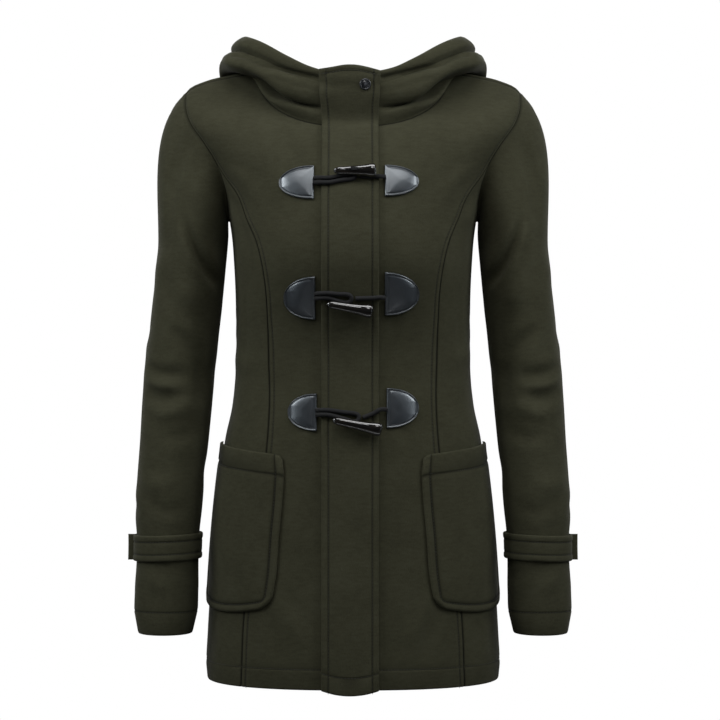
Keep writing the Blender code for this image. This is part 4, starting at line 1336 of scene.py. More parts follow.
@dataclass
class Hood:
    """The hood, thrown back, in two halves that meet down its back."""

    shop: Workshop
    fold_radius: float = 3.2
    clearance: float = 5.4
    ridge_clearance: float = 11.0
    ridge_turn: float = 118.0
    front_columns: int = 6
    back_columns: int = 8
    seam_fade: float = 16.0
    seam_tuck: float = 0.9
    row_spacing: float = 2.3
    spacing: float = 2.8
    middle: float = -3.0

    def fold(self, turn: Array, fold: Array) -> list[Array]:
        """The hood's first rows, which roll out of the neck seam.

        Args:
            turn: turns of the places.
            fold: how far the cloth has turned over by the last row, in degrees.
        Returns:
            The rows' points.
        """
        along = np.full(np.shape(turn), BODY.top)
        edge, normal = BODY.points(turn, along), BODY.normals(turn, along)
        ahead = unit(BODY.points(turn + 0.3, along) - BODY.points(turn - 0.3, along))
        inward = unit(np.cross(normal, ahead))
        below = BODY.points(turn, along - 1.0)
        inward = inward * np.sign(np.sum((edge - below) * inward, axis=-1, keepdims=True))
        rows = []
        for step in range(4):
            bend = np.radians(fold * step / 3)[..., None]
            roll = inward * np.sin(bend) + normal * (1 - np.cos(bend))
            rows.append(edge + self.fold_radius * roll)
        return rows

    def point(self, turn: Array, station: float) -> Array:
        """Points of the hood past its neck fold.

        Args:
            turn: turns of the places.
            station: how far along the profile, from 0 to 9.
        Returns:
            The points.
        """
        away = np.abs(angle_between(turn, 0.0))
        profile = smooth_columns(HOOD_PROFILES, away)
        outs, heights = profile[0::2], profile[1::2]
        neck = BODY.points(turn, np.full(np.shape(turn), BODY.top))
        (fold,) = smooth_columns(NECK_FOLD, away)
        last = self.fold(turn, fold)[-1]
        radius = np.hypot(neck[..., 0], neck[..., 1])
        start = np.stack([np.hypot(last[..., 0], last[..., 1]) - radius, last[..., 2]])
        knots = np.concatenate([start[None], np.stack([outs, heights], axis=1)])
        value = smooth_between(np.arange(10.0), knots, np.array(station))
        reach = radius + value[0]
        sine, cosine = np.sin(np.radians(turn)), np.cos(np.radians(turn))
        return np.stack([reach * sine, -reach * cosine, value[1]], axis=-1)

    def turns(self, side: Side) -> Array:
        """Turns across one half, at the columns of the panels below it.

        Args:
            side: the wearer's side.
        Returns:
            The turns, from the front.
        """
        first = float(BODY.turn_at(self.middle * side.sign, BODY.top))
        front = np.linspace(first, 90.0, self.front_columns + 1)
        back = np.linspace(90.0, 180.0, self.back_columns + 1)
        return np.concatenate([front, back[1:]]) * side.sign

    def clear_of_body(self, points: Array, turns: Array) -> Array:
        """Hood points pushed out until they clear the body.

        Args:
            points: the points, rows first.
            turns: the columns' turns.
        Returns:
            The moved points.
        """
        ridge = np.exp(-(((np.abs(turns) - self.ridge_turn) / 9.0) ** 2))
        wanted = np.broadcast_to(self.clearance + self.ridge_clearance * ridge, points.shape[:2])
        turn, along = np.meshgrid(np.arange(0.0, 360.0, 3.0), np.linspace(560.0, BODY.top, 61))
        places = BODY.points(turn, along).reshape(-1, 3)
        normals = BODY.normals(turn, along).reshape(-1, 3)
        top_row = len(places) - turn.shape[1]
        moved = points.reshape(-1, 3).copy()
        for index, (point, distance) in enumerate(zip(moved, wanted.reshape(-1))):
            nearest = int(np.argmin(np.sum((places - point) ** 2, axis=1)))
            short = distance - float(np.dot(point - places[nearest], normals[nearest]))
            above_neck = nearest >= top_row and point[2] > places[nearest][2] + 2.0
            if short > 0 and not above_neck:
                moved[index] = point + normals[nearest] * short
        return moved.reshape(points.shape)

    def build_half(self, side: Side) -> None:
        """Build one half.

        Args:
            side: the wearer's side.
        """
        turn = self.turns(side)
        (fold,) = smooth_columns(NECK_FOLD, np.abs(angle_between(turn, 0.0)))
        hanging = np.stack([self.point(turn, level) for level in HOOD_LEVELS])
        hanging = self.clear_of_body(hanging, turn)
        points = np.concatenate([np.stack(self.fold(turn, fold)), hanging])
        grid = FineGrid.of(points, (SEAM, FREE), self.row_spacing, (HIDDEN, SEAM), self.spacing)
        turns = smooth_between(grid.coarse, turn[:, None], grid.columns)[:, 0]
        seam = BODY.points(turns, np.full(turns.shape, BODY.top - self.seam_tuck))
        fade = np.clip(1.0 - grid.rows / self.seam_fade, 0.0, 1.0)[:, None, None]
        fine = grid.points + (seam - grid.points[0]) * fade
        facing = grid_normals(fine)
        neck = BODY.normals(turn, np.full(turn.shape, BODY.top))
        facing *= np.sign(np.sum(facing[1, ::8][:6] @ neck[6]))
        facing[:, -1, 0] = 0.0
        facing = unit(facing)
        word = side.value
        shell = ClothShell(f"cloth_hood_{word}", fine, facing, HIDDEN, SEAM, SEAM, FREE,
                           folds=self.folds(fine, facing))
        self.shop.cloth(shell, Cut(330, 350, 0.094, (f"cloth_front_{word}", "cloth_back")))

    def folds(self, points: Array, facing: Array) -> Array:
        """Height of the hood's folds: soft unevenness, and the crease below its rim.

        Args:
            points: middle points of one half.
            facing: their normals.
        Returns:
            The height at each point.
        """
        x, y, z = points[..., 0], points[..., 1], points[..., 2]
        wave = 0.9 * np.sin(x / 17.0 + 1.3 * np.sin(z / 29.0)) * np.sin(y / 23.0 + z / 31.0)
        rows = arc_lengths(points)
        calm = np.clip(rows / 30.0, 0, 1) * np.clip((rows[-1:] - rows) / 20.0, 0, 1)
        height = wave * calm * np.clip(y / 60.0 + 0.6, 0.2, 1.0)
        fronts = np.clip(-2.5 * facing[..., 1], 0.0, 1.0) * np.clip((40.0 - y) / 30.0, 0.0, 1.0)
        line = smooth_line(HOOD_CREASE, 6 * len(HOOD_CREASE))
        nearest, side, _ = nearest_on_line(line, np.abs(x - self.middle), z)
        height -= 3.4 * np.exp(-((nearest * side / 3.0) ** 2)) * fronts
        height += 1.6 * np.exp(-(((nearest * side - 9.0) / 5.0) ** 2)) * fronts
        return height

    def build(self) -> None:
        """Build both halves."""
        for side in Side:
            self.build_half(side)


@dataclass
class Placket:
    """The strip that covers the fronts' edges, and what is fixed on it."""

    shop: Workshop
    hood: Hood
    panels: BodyPanels
    right: float = -36.8
    left: float = 30.6
    drop: float = 6.0
    row_spacing: float = 4.4
    spacing: float = 3.4
    crest: float = 8.0
    wall: float = 4.0
    seam: EdgeFinish = folded(8.5, pad=0.55, depth=0.8)
    free: EdgeFinish = folded(7.8, pad=0.6, depth=0.8)
    neck: EdgeFinish = folded(6.5, pad=0.4)
    hem: EdgeFinish = folded(21.0)
    lift: float = 4.2

    def __post_init__(self) -> None:
        """Work out the strip's rows once."""
        self.points = self.grid(36, 16)
        self.solid = self.grid(18, 8)

    def grid(self, skirt_rows: int, chest_rows: int) -> Array:
        """Middle points of the strip in rows, hem first.

        Args:
            skirt_rows: rows from the hem to the chest.
            chest_rows: rows from the chest to the neckline.
        Returns:
            The points, six across.
        """
        across = np.linspace(self.right, self.left, 6)
        middle, half = (self.right + self.left) / 2, (self.left - self.right) / 2
        bow = 1.0 - ((across - middle) / half) ** 2
        skirt = np.linspace(0, self.panels.chest_level, skirt_rows + 1)
        levels = np.concatenate([
            skirt, np.linspace(self.panels.chest_level, BODY.top, chest_rows + 1)[1:]])
        fade = self.panels.chest_level / self.panels.skirt_rows
        rows = []
        for level in levels[levels < BODY.top - 15.0]:
            along = np.full(across.shape, level)
            turn = BODY.turn_at(across, along)
            normal = unit(BODY.normals(turn, along) * np.array([0.0, 1.0, 1.0]))
            drop = self.drop * bow * max(0.0, 1.0 - level / fade)
            lifted = BODY.points(turn, along) + normal * self.lift
            rows.append(lifted - np.outer(drop, [0.0, 0.0, 1.0]))
        for station in (3.0, 4.0, 5.0, 6.0, 7.0, 8.0):
            row = self.hood.point(np.degrees(np.arcsin(across / 89.0)), station)
            rows.append(row - np.array([0.0, self.lift + 0.4, 0.0]))
        rows.append(rows[-1] + np.outer(1.5 + self.crest * bow, [0.0, -0.05, 1.0]))
        return np.stack(rows)

    def over(self, distance: float, height: float, lift: float) -> Array:
        """A point lifted off the placket's middle.

        Args:
            distance: its distance from the centre plane.
            height: its height.
            lift: how far it is lifted.
        Returns:
            The point.
        """
        columns = across(self.solid)

        def depth(x: float, z: float) -> float:
            """The middle's depth at a distance and height."""
            line = [np.interp(z, column[:, 2], column[:, 1]) for column in columns]
            return float(np.interp(x, columns[:, 0, 0], line))

        by_x = (depth(distance + 6.0, height) - depth(distance - 6.0, height)) / 12.0
        by_z = (depth(distance, height + 6.0) - depth(distance, height - 6.0)) / 12.0
        normal = unit(np.array([by_x, -1.0, by_z]))
        return np.array([distance, depth(distance, height), height]) + normal * lift

    def build(self) -> None:
        """Build the strip and sew both its edges, its top and its hem."""
        ends, sides = (self.hem, self.neck), (self.seam, self.free)
        fine = FineGrid.of(self.points, ends, self.row_spacing, sides, self.spacing).points
        facing = grid_normals(fine)
        facing *= -np.sign(np.sum(facing[..., 1]))
        x, z = fine[..., 0], fine[..., 2]
        wave = 0.55 * np.sin(z / 26.0 + 0.6 * np.sin(x / 12.0))
        shell = ClothShell("cloth_placket", fine, facing, *sides, *ends,
                           folds=wave * np.exp(-(((x + 4.0) / 20.0) ** 2)),
                           outer=self.wall / 2, inner=1.4)
        self.shop.cloth(shell, Cut(73, 800, 0.055, ("cloth_front_left", "cloth_front_right")))
        for edge in ("left", "right", "top", "bottom"):
            distance = shell.edges()[edge].stitches[0]
            self.shop.hood_thread.sew(shell.seam_line(edge, distance))


@dataclass
class Pocket:
    """A patch pocket across the princess seam, with three rounded corners."""

    shop: Workshop
    side: Side
    outer_turn: float = 88.6
    low: float = 101.0
    high: float = 290.0
    width: float = 128.0
    length: float = 192.0
    belly: float = 2.4
    lift: float = 3.55
    spacing: float = 3.4
    band: EdgeFinish = folded(9.0, pad=1.2, depth=1.2, width=1.9, shade=0.75)
    mouth: EdgeFinish = folded(24.0, pad=0.7, depth=0.9, width=1.9, shade=0.7)
    corners: tuple[float, float, float, float] = (15.0, 22.0, 9.0, 7.0)

    def place(self, s: Array, t: Array) -> tuple[Array, Array]:
        """Turn and along of places on the flat pocket.

        Args:
            s: distance across from the inner edge.
            t: distance up from the bottom.
        Returns:
            Turns on the wearer's left, and alongs.
        """
        u, v = s / self.width, t / self.length
        along = POCKET_INNER[0][0] + (POCKET_INNER[-1][0] - POCKET_INNER[0][0]) * v
        (distance,) = smooth_columns(POCKET_INNER, along)
        turn = (1 - u) * BODY.turn_at(distance, along) + u * self.outer_turn
        level = (1 - u) * along + u * (self.low + (self.high - self.low) * v)
        return turn, level - (1 - v) * 11.0 * np.sin(np.pi * np.clip(u, 0, 1)) ** 0.8

    def surface(self, s: Array, t: Array) -> tuple[Array, Array]:
        """Middle points and normals of places on the flat pocket.

        Args:
            s: distance across from the inner edge.
            t: distance up from the bottom.
        Returns:
            The points and normals, on the pocket's own side.
        """
        turn, level = self.place(s, t)
        turn = turn * self.side.sign
        u, v = s / self.width, t / self.length
        belly = self.belly * np.clip(4 * u * (1 - u), 0, 1) * np.clip(3 * v, 0, 1)
        normal = BODY.normals(turn, level)
        return BODY.points(turn, level) + normal * (self.lift + belly)[..., None], normal

    def rounded(self, s: Array, t: Array) -> tuple[Array, Array, Array]:
        """Places moved in from the flat pocket's square corners.

        Args:
            s: distance across.
            t: distance up.
        Returns:
            The moved places and their distance from the rounded sides and bottom.
        """
        edge = np.minimum(np.minimum(s, self.width - s), t)
        moved_s, moved_t = s.copy(), t.copy()
        for corner, radius in enumerate(self.corners):
            right, high = corner % 2 == 1, corner > 1
            a = radius - (self.width - s if right else s)
            b = radius - (self.length - t if high else t)
            inside = (a > 0) & (b > 0)
            a, b = np.maximum(a, 0), np.maximum(b, 0)
            round_a = a * np.sqrt(np.maximum(1 - b**2 / (2 * radius**2), 0))
            round_b = b * np.sqrt(np.maximum(1 - a**2 / (2 * radius**2), 0))
            new_s = self.width - radius + round_a if right else radius - round_a
            new_t = self.length - radius + round_b if high else radius - round_b
            moved_s, moved_t = np.where(inside, new_s, moved_s), np.where(inside, new_t, moved_t)
            edge = np.where(inside, radius - np.hypot(round_a, round_b), edge)
        return moved_s, moved_t, edge

    def band_line(self, inset: float) -> Array:
        """The flat line of stitches inside the rounded sides and bottom.

        Args:
            inset: its distance from the edge.
        Returns:
            Its places, up one side and down the other.
        """
        inner, outer = self.corners[0], self.corners[1]
        far, top = self.width - outer, self.length - 1.0
        line = [(inset, height) for height in np.linspace(top, inner, 60)]
        for turn in np.linspace(0, math.pi / 2, 10)[1:]:
            reach = inner - inset
            line.append((inner - reach * math.cos(turn), inner - reach * math.sin(turn)))
        line += [(distance, inset) for distance in np.linspace(inner, far, 40)[1:]]
        for turn in np.linspace(0, math.pi / 2, 12)[1:]:
            reach = outer - inset
            line.append((far + reach * math.sin(turn), outer - reach * math.cos(turn)))
        line += [(self.width - inset, height) for height in np.linspace(outer, top, 60)[1:]]
        return np.array(line)

    def sew(self, line: Array) -> None:
        """Sew stitches along a line on the flat pocket."""
        points, normals = self.surface(line[:, 0], line[:, 1])
        self.shop.trim_thread.sew(np.concatenate([points + normals * 0.75, normals], axis=-1))

    def build(self) -> None:
        """Build the pocket, its raised band and the stitched fold at its mouth."""
        t, s = np.meshgrid(spaced(self.length, self.band, self.mouth, self.spacing),
                           spaced(self.width, self.band, self.band, self.spacing), indexing="ij")
        s, t, edge = self.rounded(s, t)
        points, normals = self.surface(s, t)
        u, v = s / self.width, t / self.length
        wave = 1.1 * np.sin(np.pi * v * 2.6) * np.sin(np.pi * u * 1.8 + 0.5)
        folds = wave * np.clip(edge / 26.0, 0, 1) * np.clip((self.length - t) / 30.0, 0, 1)
        word = self.side.value
        shell = ClothShell(f"cloth_pocket_{word}", points, normals, top=self.mouth, folds=folds,
                           outlines=((edge, self.band),))
        on = (f"cloth_front_{word}", f"cloth_side_front_{word}")
        self.shop.cloth(shell, Cut(150, 215, 0.0296, on))
        (band,), (mouth,) = self.band.stitches, self.mouth.stitches
        self.sew(self.band_line(band))
        wide = np.linspace(band + 2.0, self.width - band - 2.0, 60)
        self.sew(np.stack([wide, np.full(wide.shape, self.length - mouth)], axis=-1))


@dataclass
class CuffStrap:
    """The strap round a cuff, whose squared end stands out on the outer side."""

    shop: Workshop
    side: Side
    height: float = 31.0
    middle: float = -560.0
    offset: float = 4.0
    tab: float = 9.0
    edge: EdgeFinish = folded(8.0, pad=0.5)

    def build(self) -> None:
        """Build the strap and its two rows of stitches."""
        angles = np.linspace(5.0, 352.0, 118)
        rows = []
        for share in spaced(self.height, self.edge, self.edge, 3.0) / self.height:
            height = self.middle + self.height * (share - 0.5) - 1.5 * np.cos(np.radians(angles))
            ring = Sleeve.arm_ring(angles, height)
            lift = swell(SLEEVE_SWELLS, angles, height)
            outward = unit((ring - ring.mean(axis=0)) * np.array([1, 1, 0]))
            ring = ring + outward * (self.offset + lift[:, None])
            tab = [ring[-1] + np.array([reach, 0.6 * reach / self.tab, 0.0])
                   for reach in np.linspace(0, self.tab, 9)[1:]]
            rows.append(np.concatenate([ring, np.stack(tab)]))
        points = np.stack(rows)
        facing = grid_normals(points)
        middle = points[:, :100].mean(axis=(0, 1))
        facing *= np.sign(np.sum(facing[:, :90] * (points[:, :90] - middle)))
        flip = np.array([self.side.sign, 1, 1])
        word = self.side.value
        shell = ClothShell(f"cloth_cuff_strap_{word}", points * flip, facing * flip, FREE, FREE,
                           self.edge, self.edge)
        self.shop.cloth(shell, Cut(287, 31, 0.0088, (f"cloth_sleeve_{word}",)))
        for name in ("bottom", "top"):
            self.shop.trim_thread.sew(shell.seam_line(name, *self.edge.stitches))


@dataclass(frozen=True)
class ToggleSet:
    """One closure: two patches, a loop, an anchor and a toggle.

    Attributes:
        cord_right: height of the loop's cord at the wearer's right patch.
        cord_left: height of the anchor at the left patch.
        bend: height and half height of the loop round the toggle.
        thin: distance and height of the toggle's thin end.
        thick: the same for its thick end.
        patch_right: inner and outer distance, top and foot of the right patch.
        patch_left: the same for the left patch.
    """

    cord_right: float
    cord_left: float
    bend: tuple[float, float]
    thin: tuple[float, float]
    thick: tuple[float, float]
    patch_right: tuple[float, float, float, float]
    patch_left: tuple[float, float, float, float]


TOGGLE_SETS = (
    ToggleSet(-126.5, -122.5, (-122.0, 2.7), (-22.0, -118.0), (27.0, -118.5),
              (-45.2, -85.7, -107.8, -147.7), (37.2, 76.8, -107.2, -144.6)),
    ToggleSet(-259.0, -261.0, (-262.5, 4.5), (-29.0, -267.5), (23.0, -276.0),
              (-43.2, -78.9, -236.9, -287.1), (37.0, 75.8, -232.1, -282.3)),
    ToggleSet(-397.5, -394.0, (-403.5, 4.7), (-22.9, -407.0), (34.0, -419.0),
              (-42.0, -75.4, -375.3, -419.5), (39.4, 76.5, -368.8, -416.0)),
)

# share of a toggle's length from its thin end, and the radius there
HORN_PROFILE = (
    (0.0, 2.0), (0.03, 3.0), (0.3, 5.0), (0.5, 5.6), (0.7, 6.6), (0.97, 7.8), (1.0, 7.2))

# share of the stud's radius, and the height of its cap there
SNAP_PROFILE = (
    (0.9, 0.0), (0.97, 0.2), (1.0, 0.7), (0.98, 1.25), (0.93, 1.65), (0.86, 1.8),
    (0.79, 1.7), (0.74, 1.45), (0.7, 1.4), (0.6, 1.65), (0.45, 1.95), (0.28, 2.15),
    (0.12, 2.25), (0.0, 2.28),
)


@dataclass
class Closures:
    """The three toggle closures and the press stud."""

    shop: Workshop
    placket: Placket
    cord_radius: float = 2.3
    cord_spread: float = 2.7
    cord_nap: float = 0.4
    patch_wall: float = 2.0
    patch_dome: float = 1.9
    horn_sides: int = 40
    horn_flatness: float = 0.72
    snap_place: tuple[float, float] = (14.4, -8.5)
    snap_radius: float = 6.8

    def build_patch(self, name: str, size: tuple[float, float, float, float]) -> None:
        """Build one domed leather patch with a beaded, stitched edge.

        Args:
            name: the solid's name.
            size: inner and outer distance, top and foot.
        """
        inner, outer, high, low = size
        out = 0.998 * (1.0 - (1.0 - np.linspace(0, 1, 40)) ** 1.6)[:, None]
        share = np.sin(np.linspace(-np.pi / 2, np.pi / 2, 45))[None, :]
        distance = inner + (outer - inner) * out + 0.0 * share
        middle, reach = (high + low) / 2, (high - low) / 2 * np.sqrt(1 - out**2.3)
        turn, along = BODY.front_place(distance, middle + reach * share)
        normal = BODY.normals(turn, along)
        edge = np.minimum(np.abs(distance - inner), reach * (1 - np.abs(share)))
        edge = np.minimum(edge, np.abs(outer - distance) * 0.9 + 0.3)
        dome = self.patch_dome * (1 - np.exp(-np.maximum(edge - 2.4, 0.0) / 6.0))
        bead = 0.75 * np.exp(-(((edge - 1.1) / 0.8) ** 2))
        bead = bead - 0.6 * np.exp(-(((edge - 2.7) / 0.6) ** 2))
        near = np.clip(1.0 - edge, 0, 1)
        round_off = 0.9 * (1.0 - np.sqrt(np.maximum(1.0 - near**2, 0.0)))
        points = BODY.points(turn, along)
        points = points + normal * (CLOTH_FACE + GAP + 0.5 + self.patch_wall / 2)
        shell = ClothShell(f"{name}_leather", points, normal, outer=0.8, inner=0.9,
                           moulded=dome + bead - round_off)
        self.shop.place(shell.build(self.shop.finishes.leather), "patch_leather", name)

    def twisted(
        self, route: Array, radius: float, lobes: int = 3, pitch: float = 8.5, sides: int = 18
    ) -> tuple[Array, list[tuple[int, ...]]]:
        """A twisted cord along a smooth route.

        Args:
            route: points that the cord passes.
            radius: its outer radius.
            lobes: strands that show round it.
            pitch: length of one turn of the twist.
            sides: faces round it.
        Returns:
            Its points, and the corner numbers of each face.
        """
        lengths = arc_lengths(route)
        steps = np.linspace(0, lengths[-1], max(10, int(lengths[-1] / 0.9)))
        points = smooth_between(lengths, route, steps)
        ahead = unit(np.gradient(points, axis=0))
        upward = unit(np.cross(ahead, np.array([0.0, -1.0, 0.001])))
        aside = np.cross(ahead, upward)
        turns = np.radians(np.arange(sides) * 360.0 / sides)
        twist = 2 * np.pi * steps[:, None] / pitch
        reach = 0.86 + 0.14 * np.abs(np.cos((lobes * (turns[None] + twist)) / 2)) ** 0.7
        ring = (upward[:, None] * np.cos(turns)[None, :, None]
                + aside[:, None] * np.sin(turns)[None, :, None])
        rings = points[:, None] + (radius * reach)[..., None] * ring
        return closed_tube(rings, (points[0], points[-1]))

    def on_front(self, distance: float, height: float, lift: float) -> Array:
        """A point lifted off the front's middle."""
        turn, along = BODY.front_place(np.array([distance]), np.array([height]))
        return (BODY.points(turn, along) + BODY.normals(turn, along) * lift)[0]

    def cord(self, kind: str, number: int, route: Sequence[Array]) -> None:
        """Build a loop or an anchor.

        Args:
            kind: which of the two.
            number: the closure's number from the top.
            route: points that it passes.
        """
        mesh = self.twisted(np.array(route), self.cord_radius + self.cord_nap)
        made = mesh_piece(f"{kind}_{number}", *mesh, self.shop.finishes.cord)
        self.shop.place(made, "cord", f"{kind}_cord_{number}")

    def build_cords(self, number: int, row: ToggleSet) -> None:
        """Build the doubled loop from the right patch and the anchor from the left.

        Args:
            number: the closure's number from the top.
            row: its places.
        """
        over, lying = self.placket.over, self.placket.wall / 2 + GAP + self.cord_radius
        bend_x = (row.thin[0] + row.thick[0]) / 2 + 1.0
        bend_z, bend_reach = row.bend
        low = CLOTH_FACE + GAP + self.cord_radius + 1.4
        near = self.on_front(row.patch_right[0] + 0.6, row.cord_right, low)
        strands = []
        for spread in (self.cord_spread, -self.cord_spread):
            height = row.cord_right + spread
            opened = bend_z + math.copysign(bend_reach, spread)
            strands.append([
                near + np.array([0.0, 0.0, spread]),
                over(self.placket.right - 1.6, height, lying + 0.9),
                over(self.placket.right + 7.0, height, lying + 0.2),
                over(bend_x - 14.0, 0.3 * height + 0.7 * opened, lying)])
        around = []
        for angle in np.radians((90.0, 45.0, 0.0, -45.0, -90.0)):
            reach, rise = bend_reach * math.cos(angle), bend_reach * math.sin(angle)
            around.append(over(bend_x - 4.0 + reach, bend_z + rise, lying))
        self.cord("loop", number, strands[0] + around + strands[1][::-1])
        self.cord("anchor", number, [
            self.on_front(row.patch_left[0] - 0.6, row.cord_left, low),
            over(self.placket.left + 2.2, row.cord_left, lying + 0.9),
            over(self.placket.left - 7.0, (row.cord_left + bend_z) / 2, lying + 0.2),
            over(bend_x + 5.0, bend_z, lying)])

    def build_toggle(self, number: int, row: ToggleSet) -> None:
        """Build one horn toggle, a flattened taper.

        Args:
            number: the closure's number from the top.
            row: its places.
        """
        lift = self.placket.wall / 2 + GAP + 2 * self.cord_radius + GAP
        start = self.placket.over(*row.thin, lift + 3.2)
        end = self.placket.over(*row.thick, lift + 5.9)
        axis = unit(end - start)
        upward = unit(np.cross(axis, np.array([0.0, -1.0, 0.0])))
        upward = upward * np.sign(upward[2])
        forward = np.cross(upward, axis)
        shares = np.concatenate([np.linspace(0, 0.05, 8), np.linspace(0.05, 0.95, 46)[1:-1],
                                 np.linspace(0.95, 1, 9)])
        (radius,) = smooth_columns(HORN_PROFILE, shares)
        ends = np.minimum(shares / 0.03, (1.0 - shares) / 0.03)
        radius = radius * np.sqrt(np.clip(0.35 + 0.65 * np.clip(ends, 0, 1), 0, 1))
        turns = np.radians(np.arange(self.horn_sides) * 360.0 / self.horn_sides)
        square = (np.abs(np.cos(turns)) ** 2.7 + np.abs(np.sin(turns)) ** 2.7) ** (-1 / 2.7)
        flat = forward[None] * (np.cos(turns) * self.horn_flatness)[:, None]
        ring = (upward[None] * np.sin(turns)[:, None] + flat) * square[:, None] * 0.95
        middle = start + (end - start) * shares[:, None]
        rings = middle[:, None] + ring[None] * radius[:, None, None]
        mesh = closed_tube(rings, (start, end))
        made = mesh_piece(f"horn_toggle_{number}", *mesh, self.shop.finishes.horn)
        self.shop.place(made, "toggle_horn", f"toggle_{number}")

    def build_lashing(self) -> None:
        """Build the wrap of cord on the face of the top toggle, in four turns."""
        row = TOGGLE_SETS[0]
        lift = self.placket.wall / 2 + 2 * GAP + 2 * self.cord_radius
        middle_x = (row.thin[0] + row.thick[0]) / 2 - 0.8
        middle_z = (row.thin[1] + row.thick[1]) / 2
        foot = self.placket.over(middle_x, middle_z, lift + 4.6 + 5.6 * self.horn_flatness + 0.4)
        vertices, faces, count = [], [], 0
        for rise, half in ((-1.35, 3.6), (-0.45, 5.8), (0.45, 5.9), (1.35, 3.8)):
            x = np.linspace(-half, half, 9)
            depth = -0.9 + 0.9 * (x / half) ** 4
            route = np.stack([x, depth, rise + 0.0 * x], axis=-1) + foot
            points, sides = self.twisted(route, 0.62, 2, 3.0, 10)
            vertices.append(points)
            faces += [tuple(corner + count for corner in side) for side in sides]
            count += len(points)
        made = mesh_piece("lashing_wrap", np.concatenate(vertices), faces, self.shop.finishes.cord)
        self.shop.place(made, "cord", "lashing")

    def build_snap(self) -> None:
        """Build the press stud's cap, a low dome in a rolled rim."""
        lift, sides = self.placket.wall / 2 + 1.2, 48
        foot = self.placket.over(*self.snap_place, lift)
        axis = unit(self.placket.over(*self.snap_place, lift + 1.0) - foot)
        side = unit(np.cross(axis, np.array([0.0, 0.0, 1.0])))
        upward = np.cross(side, axis)
        vertices = []
        for spread, rise in SNAP_PROFILE:
            for turn in np.arange(sides) * 2 * math.pi / sides:
                out = (side * math.cos(turn) + upward * math.sin(turn)) * self.snap_radius
                vertices.append(foot + axis * rise + out * spread)
        faces = tube_walls(len(SNAP_PROFILE), sides) + [tuple(reversed(range(sides)))]
        made = mesh_piece("snap_cap", np.array(vertices), faces, self.shop.finishes.enamel)
        self.shop.place(made, "snap_cap", "snap")

    def build(self) -> None:
        """Build every closure."""
        for number, row in enumerate(TOGGLE_SETS, start=1):
            self.build_patch(f"patch_right_{number}", row.patch_right)
            self.build_patch(f"patch_left_{number}", row.patch_left)
            self.build_toggle(number, row)
            self.build_cords(number, row)
        self.build_lashing()
        self.build_snap()


class Graph:
    """A node tree with short ways to add and join nodes."""

    def __init__(self, tree: bpy.types.NodeTree) -> None:
        """Work on a tree."""
        self.tree = tree

    def fill(self, node: bpy.types.Node, **values: object) -> None:
        """Give a node numbers, colours, sockets to read or properties.

        Args:
            node: the node.
            values: inputs by name, with spaces as underscores, or properties.
        """
        for key, value in values.items():
            name = key.replace("_", " ")
            socket = next((one for one in node.inputs if one.name.lower() == name), None)
            if socket is None:
                setattr(node, key, value)
            elif isinstance(value, bpy.types.NodeSocket):
                self.join(value, socket)
            elif socket.type == "RGBA":
                socket.default_value = (*value[:3], 1.0)
            else:
                socket.default_value = value

    def add(self, kind: str, **values: object) -> bpy.types.Node:
        """A new node.

        Args:
            kind: its type name.
            values: what it is filled with.
        Returns:
            The node.
        """
        node = self.tree.nodes.new(kind)
        self.fill(node, **values)
        return node

    def group(self, tree: bpy.types.NodeTree, **values: object) -> bpy.types.Node:
        """A new node that stands for a shared group, filled with values."""
        return self.add("ShaderNodeGroup", node_tree=tree, **values)

    def read(self, attribute: str) -> bpy.types.Node:
        """A new node that reads a mesh's own values."""
        return self.add("ShaderNodeAttribute", attribute_name=attribute)

    def place(self) -> bpy.types.NodeSocket:
        """The place on the object, in metres."""
        return self.add("ShaderNodeTexCoord").outputs["Object"]

    def join(self, source: bpy.types.NodeSocket, target: bpy.types.NodeSocket) -> None:
        """Link one socket to another."""
        self.tree.links.new(source, target)

    def math(self, operation: str, first: object, second: object = 0.0) -> bpy.types.NodeSocket:
        """A Math node's output.

        Args:
            operation: what it does.
            first: a socket or number.
            second: another.
        Returns:
            The output.
        """
        node = self.tree.nodes.new("ShaderNodeMath")
        node.operation = operation
        for socket, value in zip(node.inputs, (first, second)):
            if isinstance(value, bpy.types.NodeSocket):
                self.join(value, socket)
            else:
                socket.default_value = float(value)
        return node.outputs[0]

    def scaled(self, vector: bpy.types.NodeSocket, scale: Sequence[float]) -> bpy.types.NodeSocket:
        """A vector stretched by its own factor along each axis."""
        return self.add("ShaderNodeMapping", scale=scale, vector=vector).outputs["Vector"]

    def blend(self, share: object, first: object, second: object) -> bpy.types.NodeSocket:
        """A colour between two others.

        Args:
            share: a socket, 0 for the first colour and 1 for the second.
            first: a socket.
            second: another.
        Returns:
            The colour.
        """
        node = self.add("ShaderNodeMix", data_type="RGBA")
        for index, source in zip((0, 6, 7), (share, first, second)):
            self.join(source, node.inputs[index])
        return node.outputs[2]

    def bump(
        self, shader: bpy.types.Node, height: bpy.types.NodeSocket, strength: float, distance: float
    ) -> None:
        """Let a height from 0 to 1 tilt a shader's normal.

        Args:
            shader: the shader.
            height: the height.
            strength: how much of it shows.
            distance: what a height of 1 stands for, in metres.
        """
        node = self.add("ShaderNodeBump", strength=strength, distance=distance)
        self.join(height, node.inputs["Height"])
        self.join(node.outputs["Normal"], shader.inputs["Normal"])


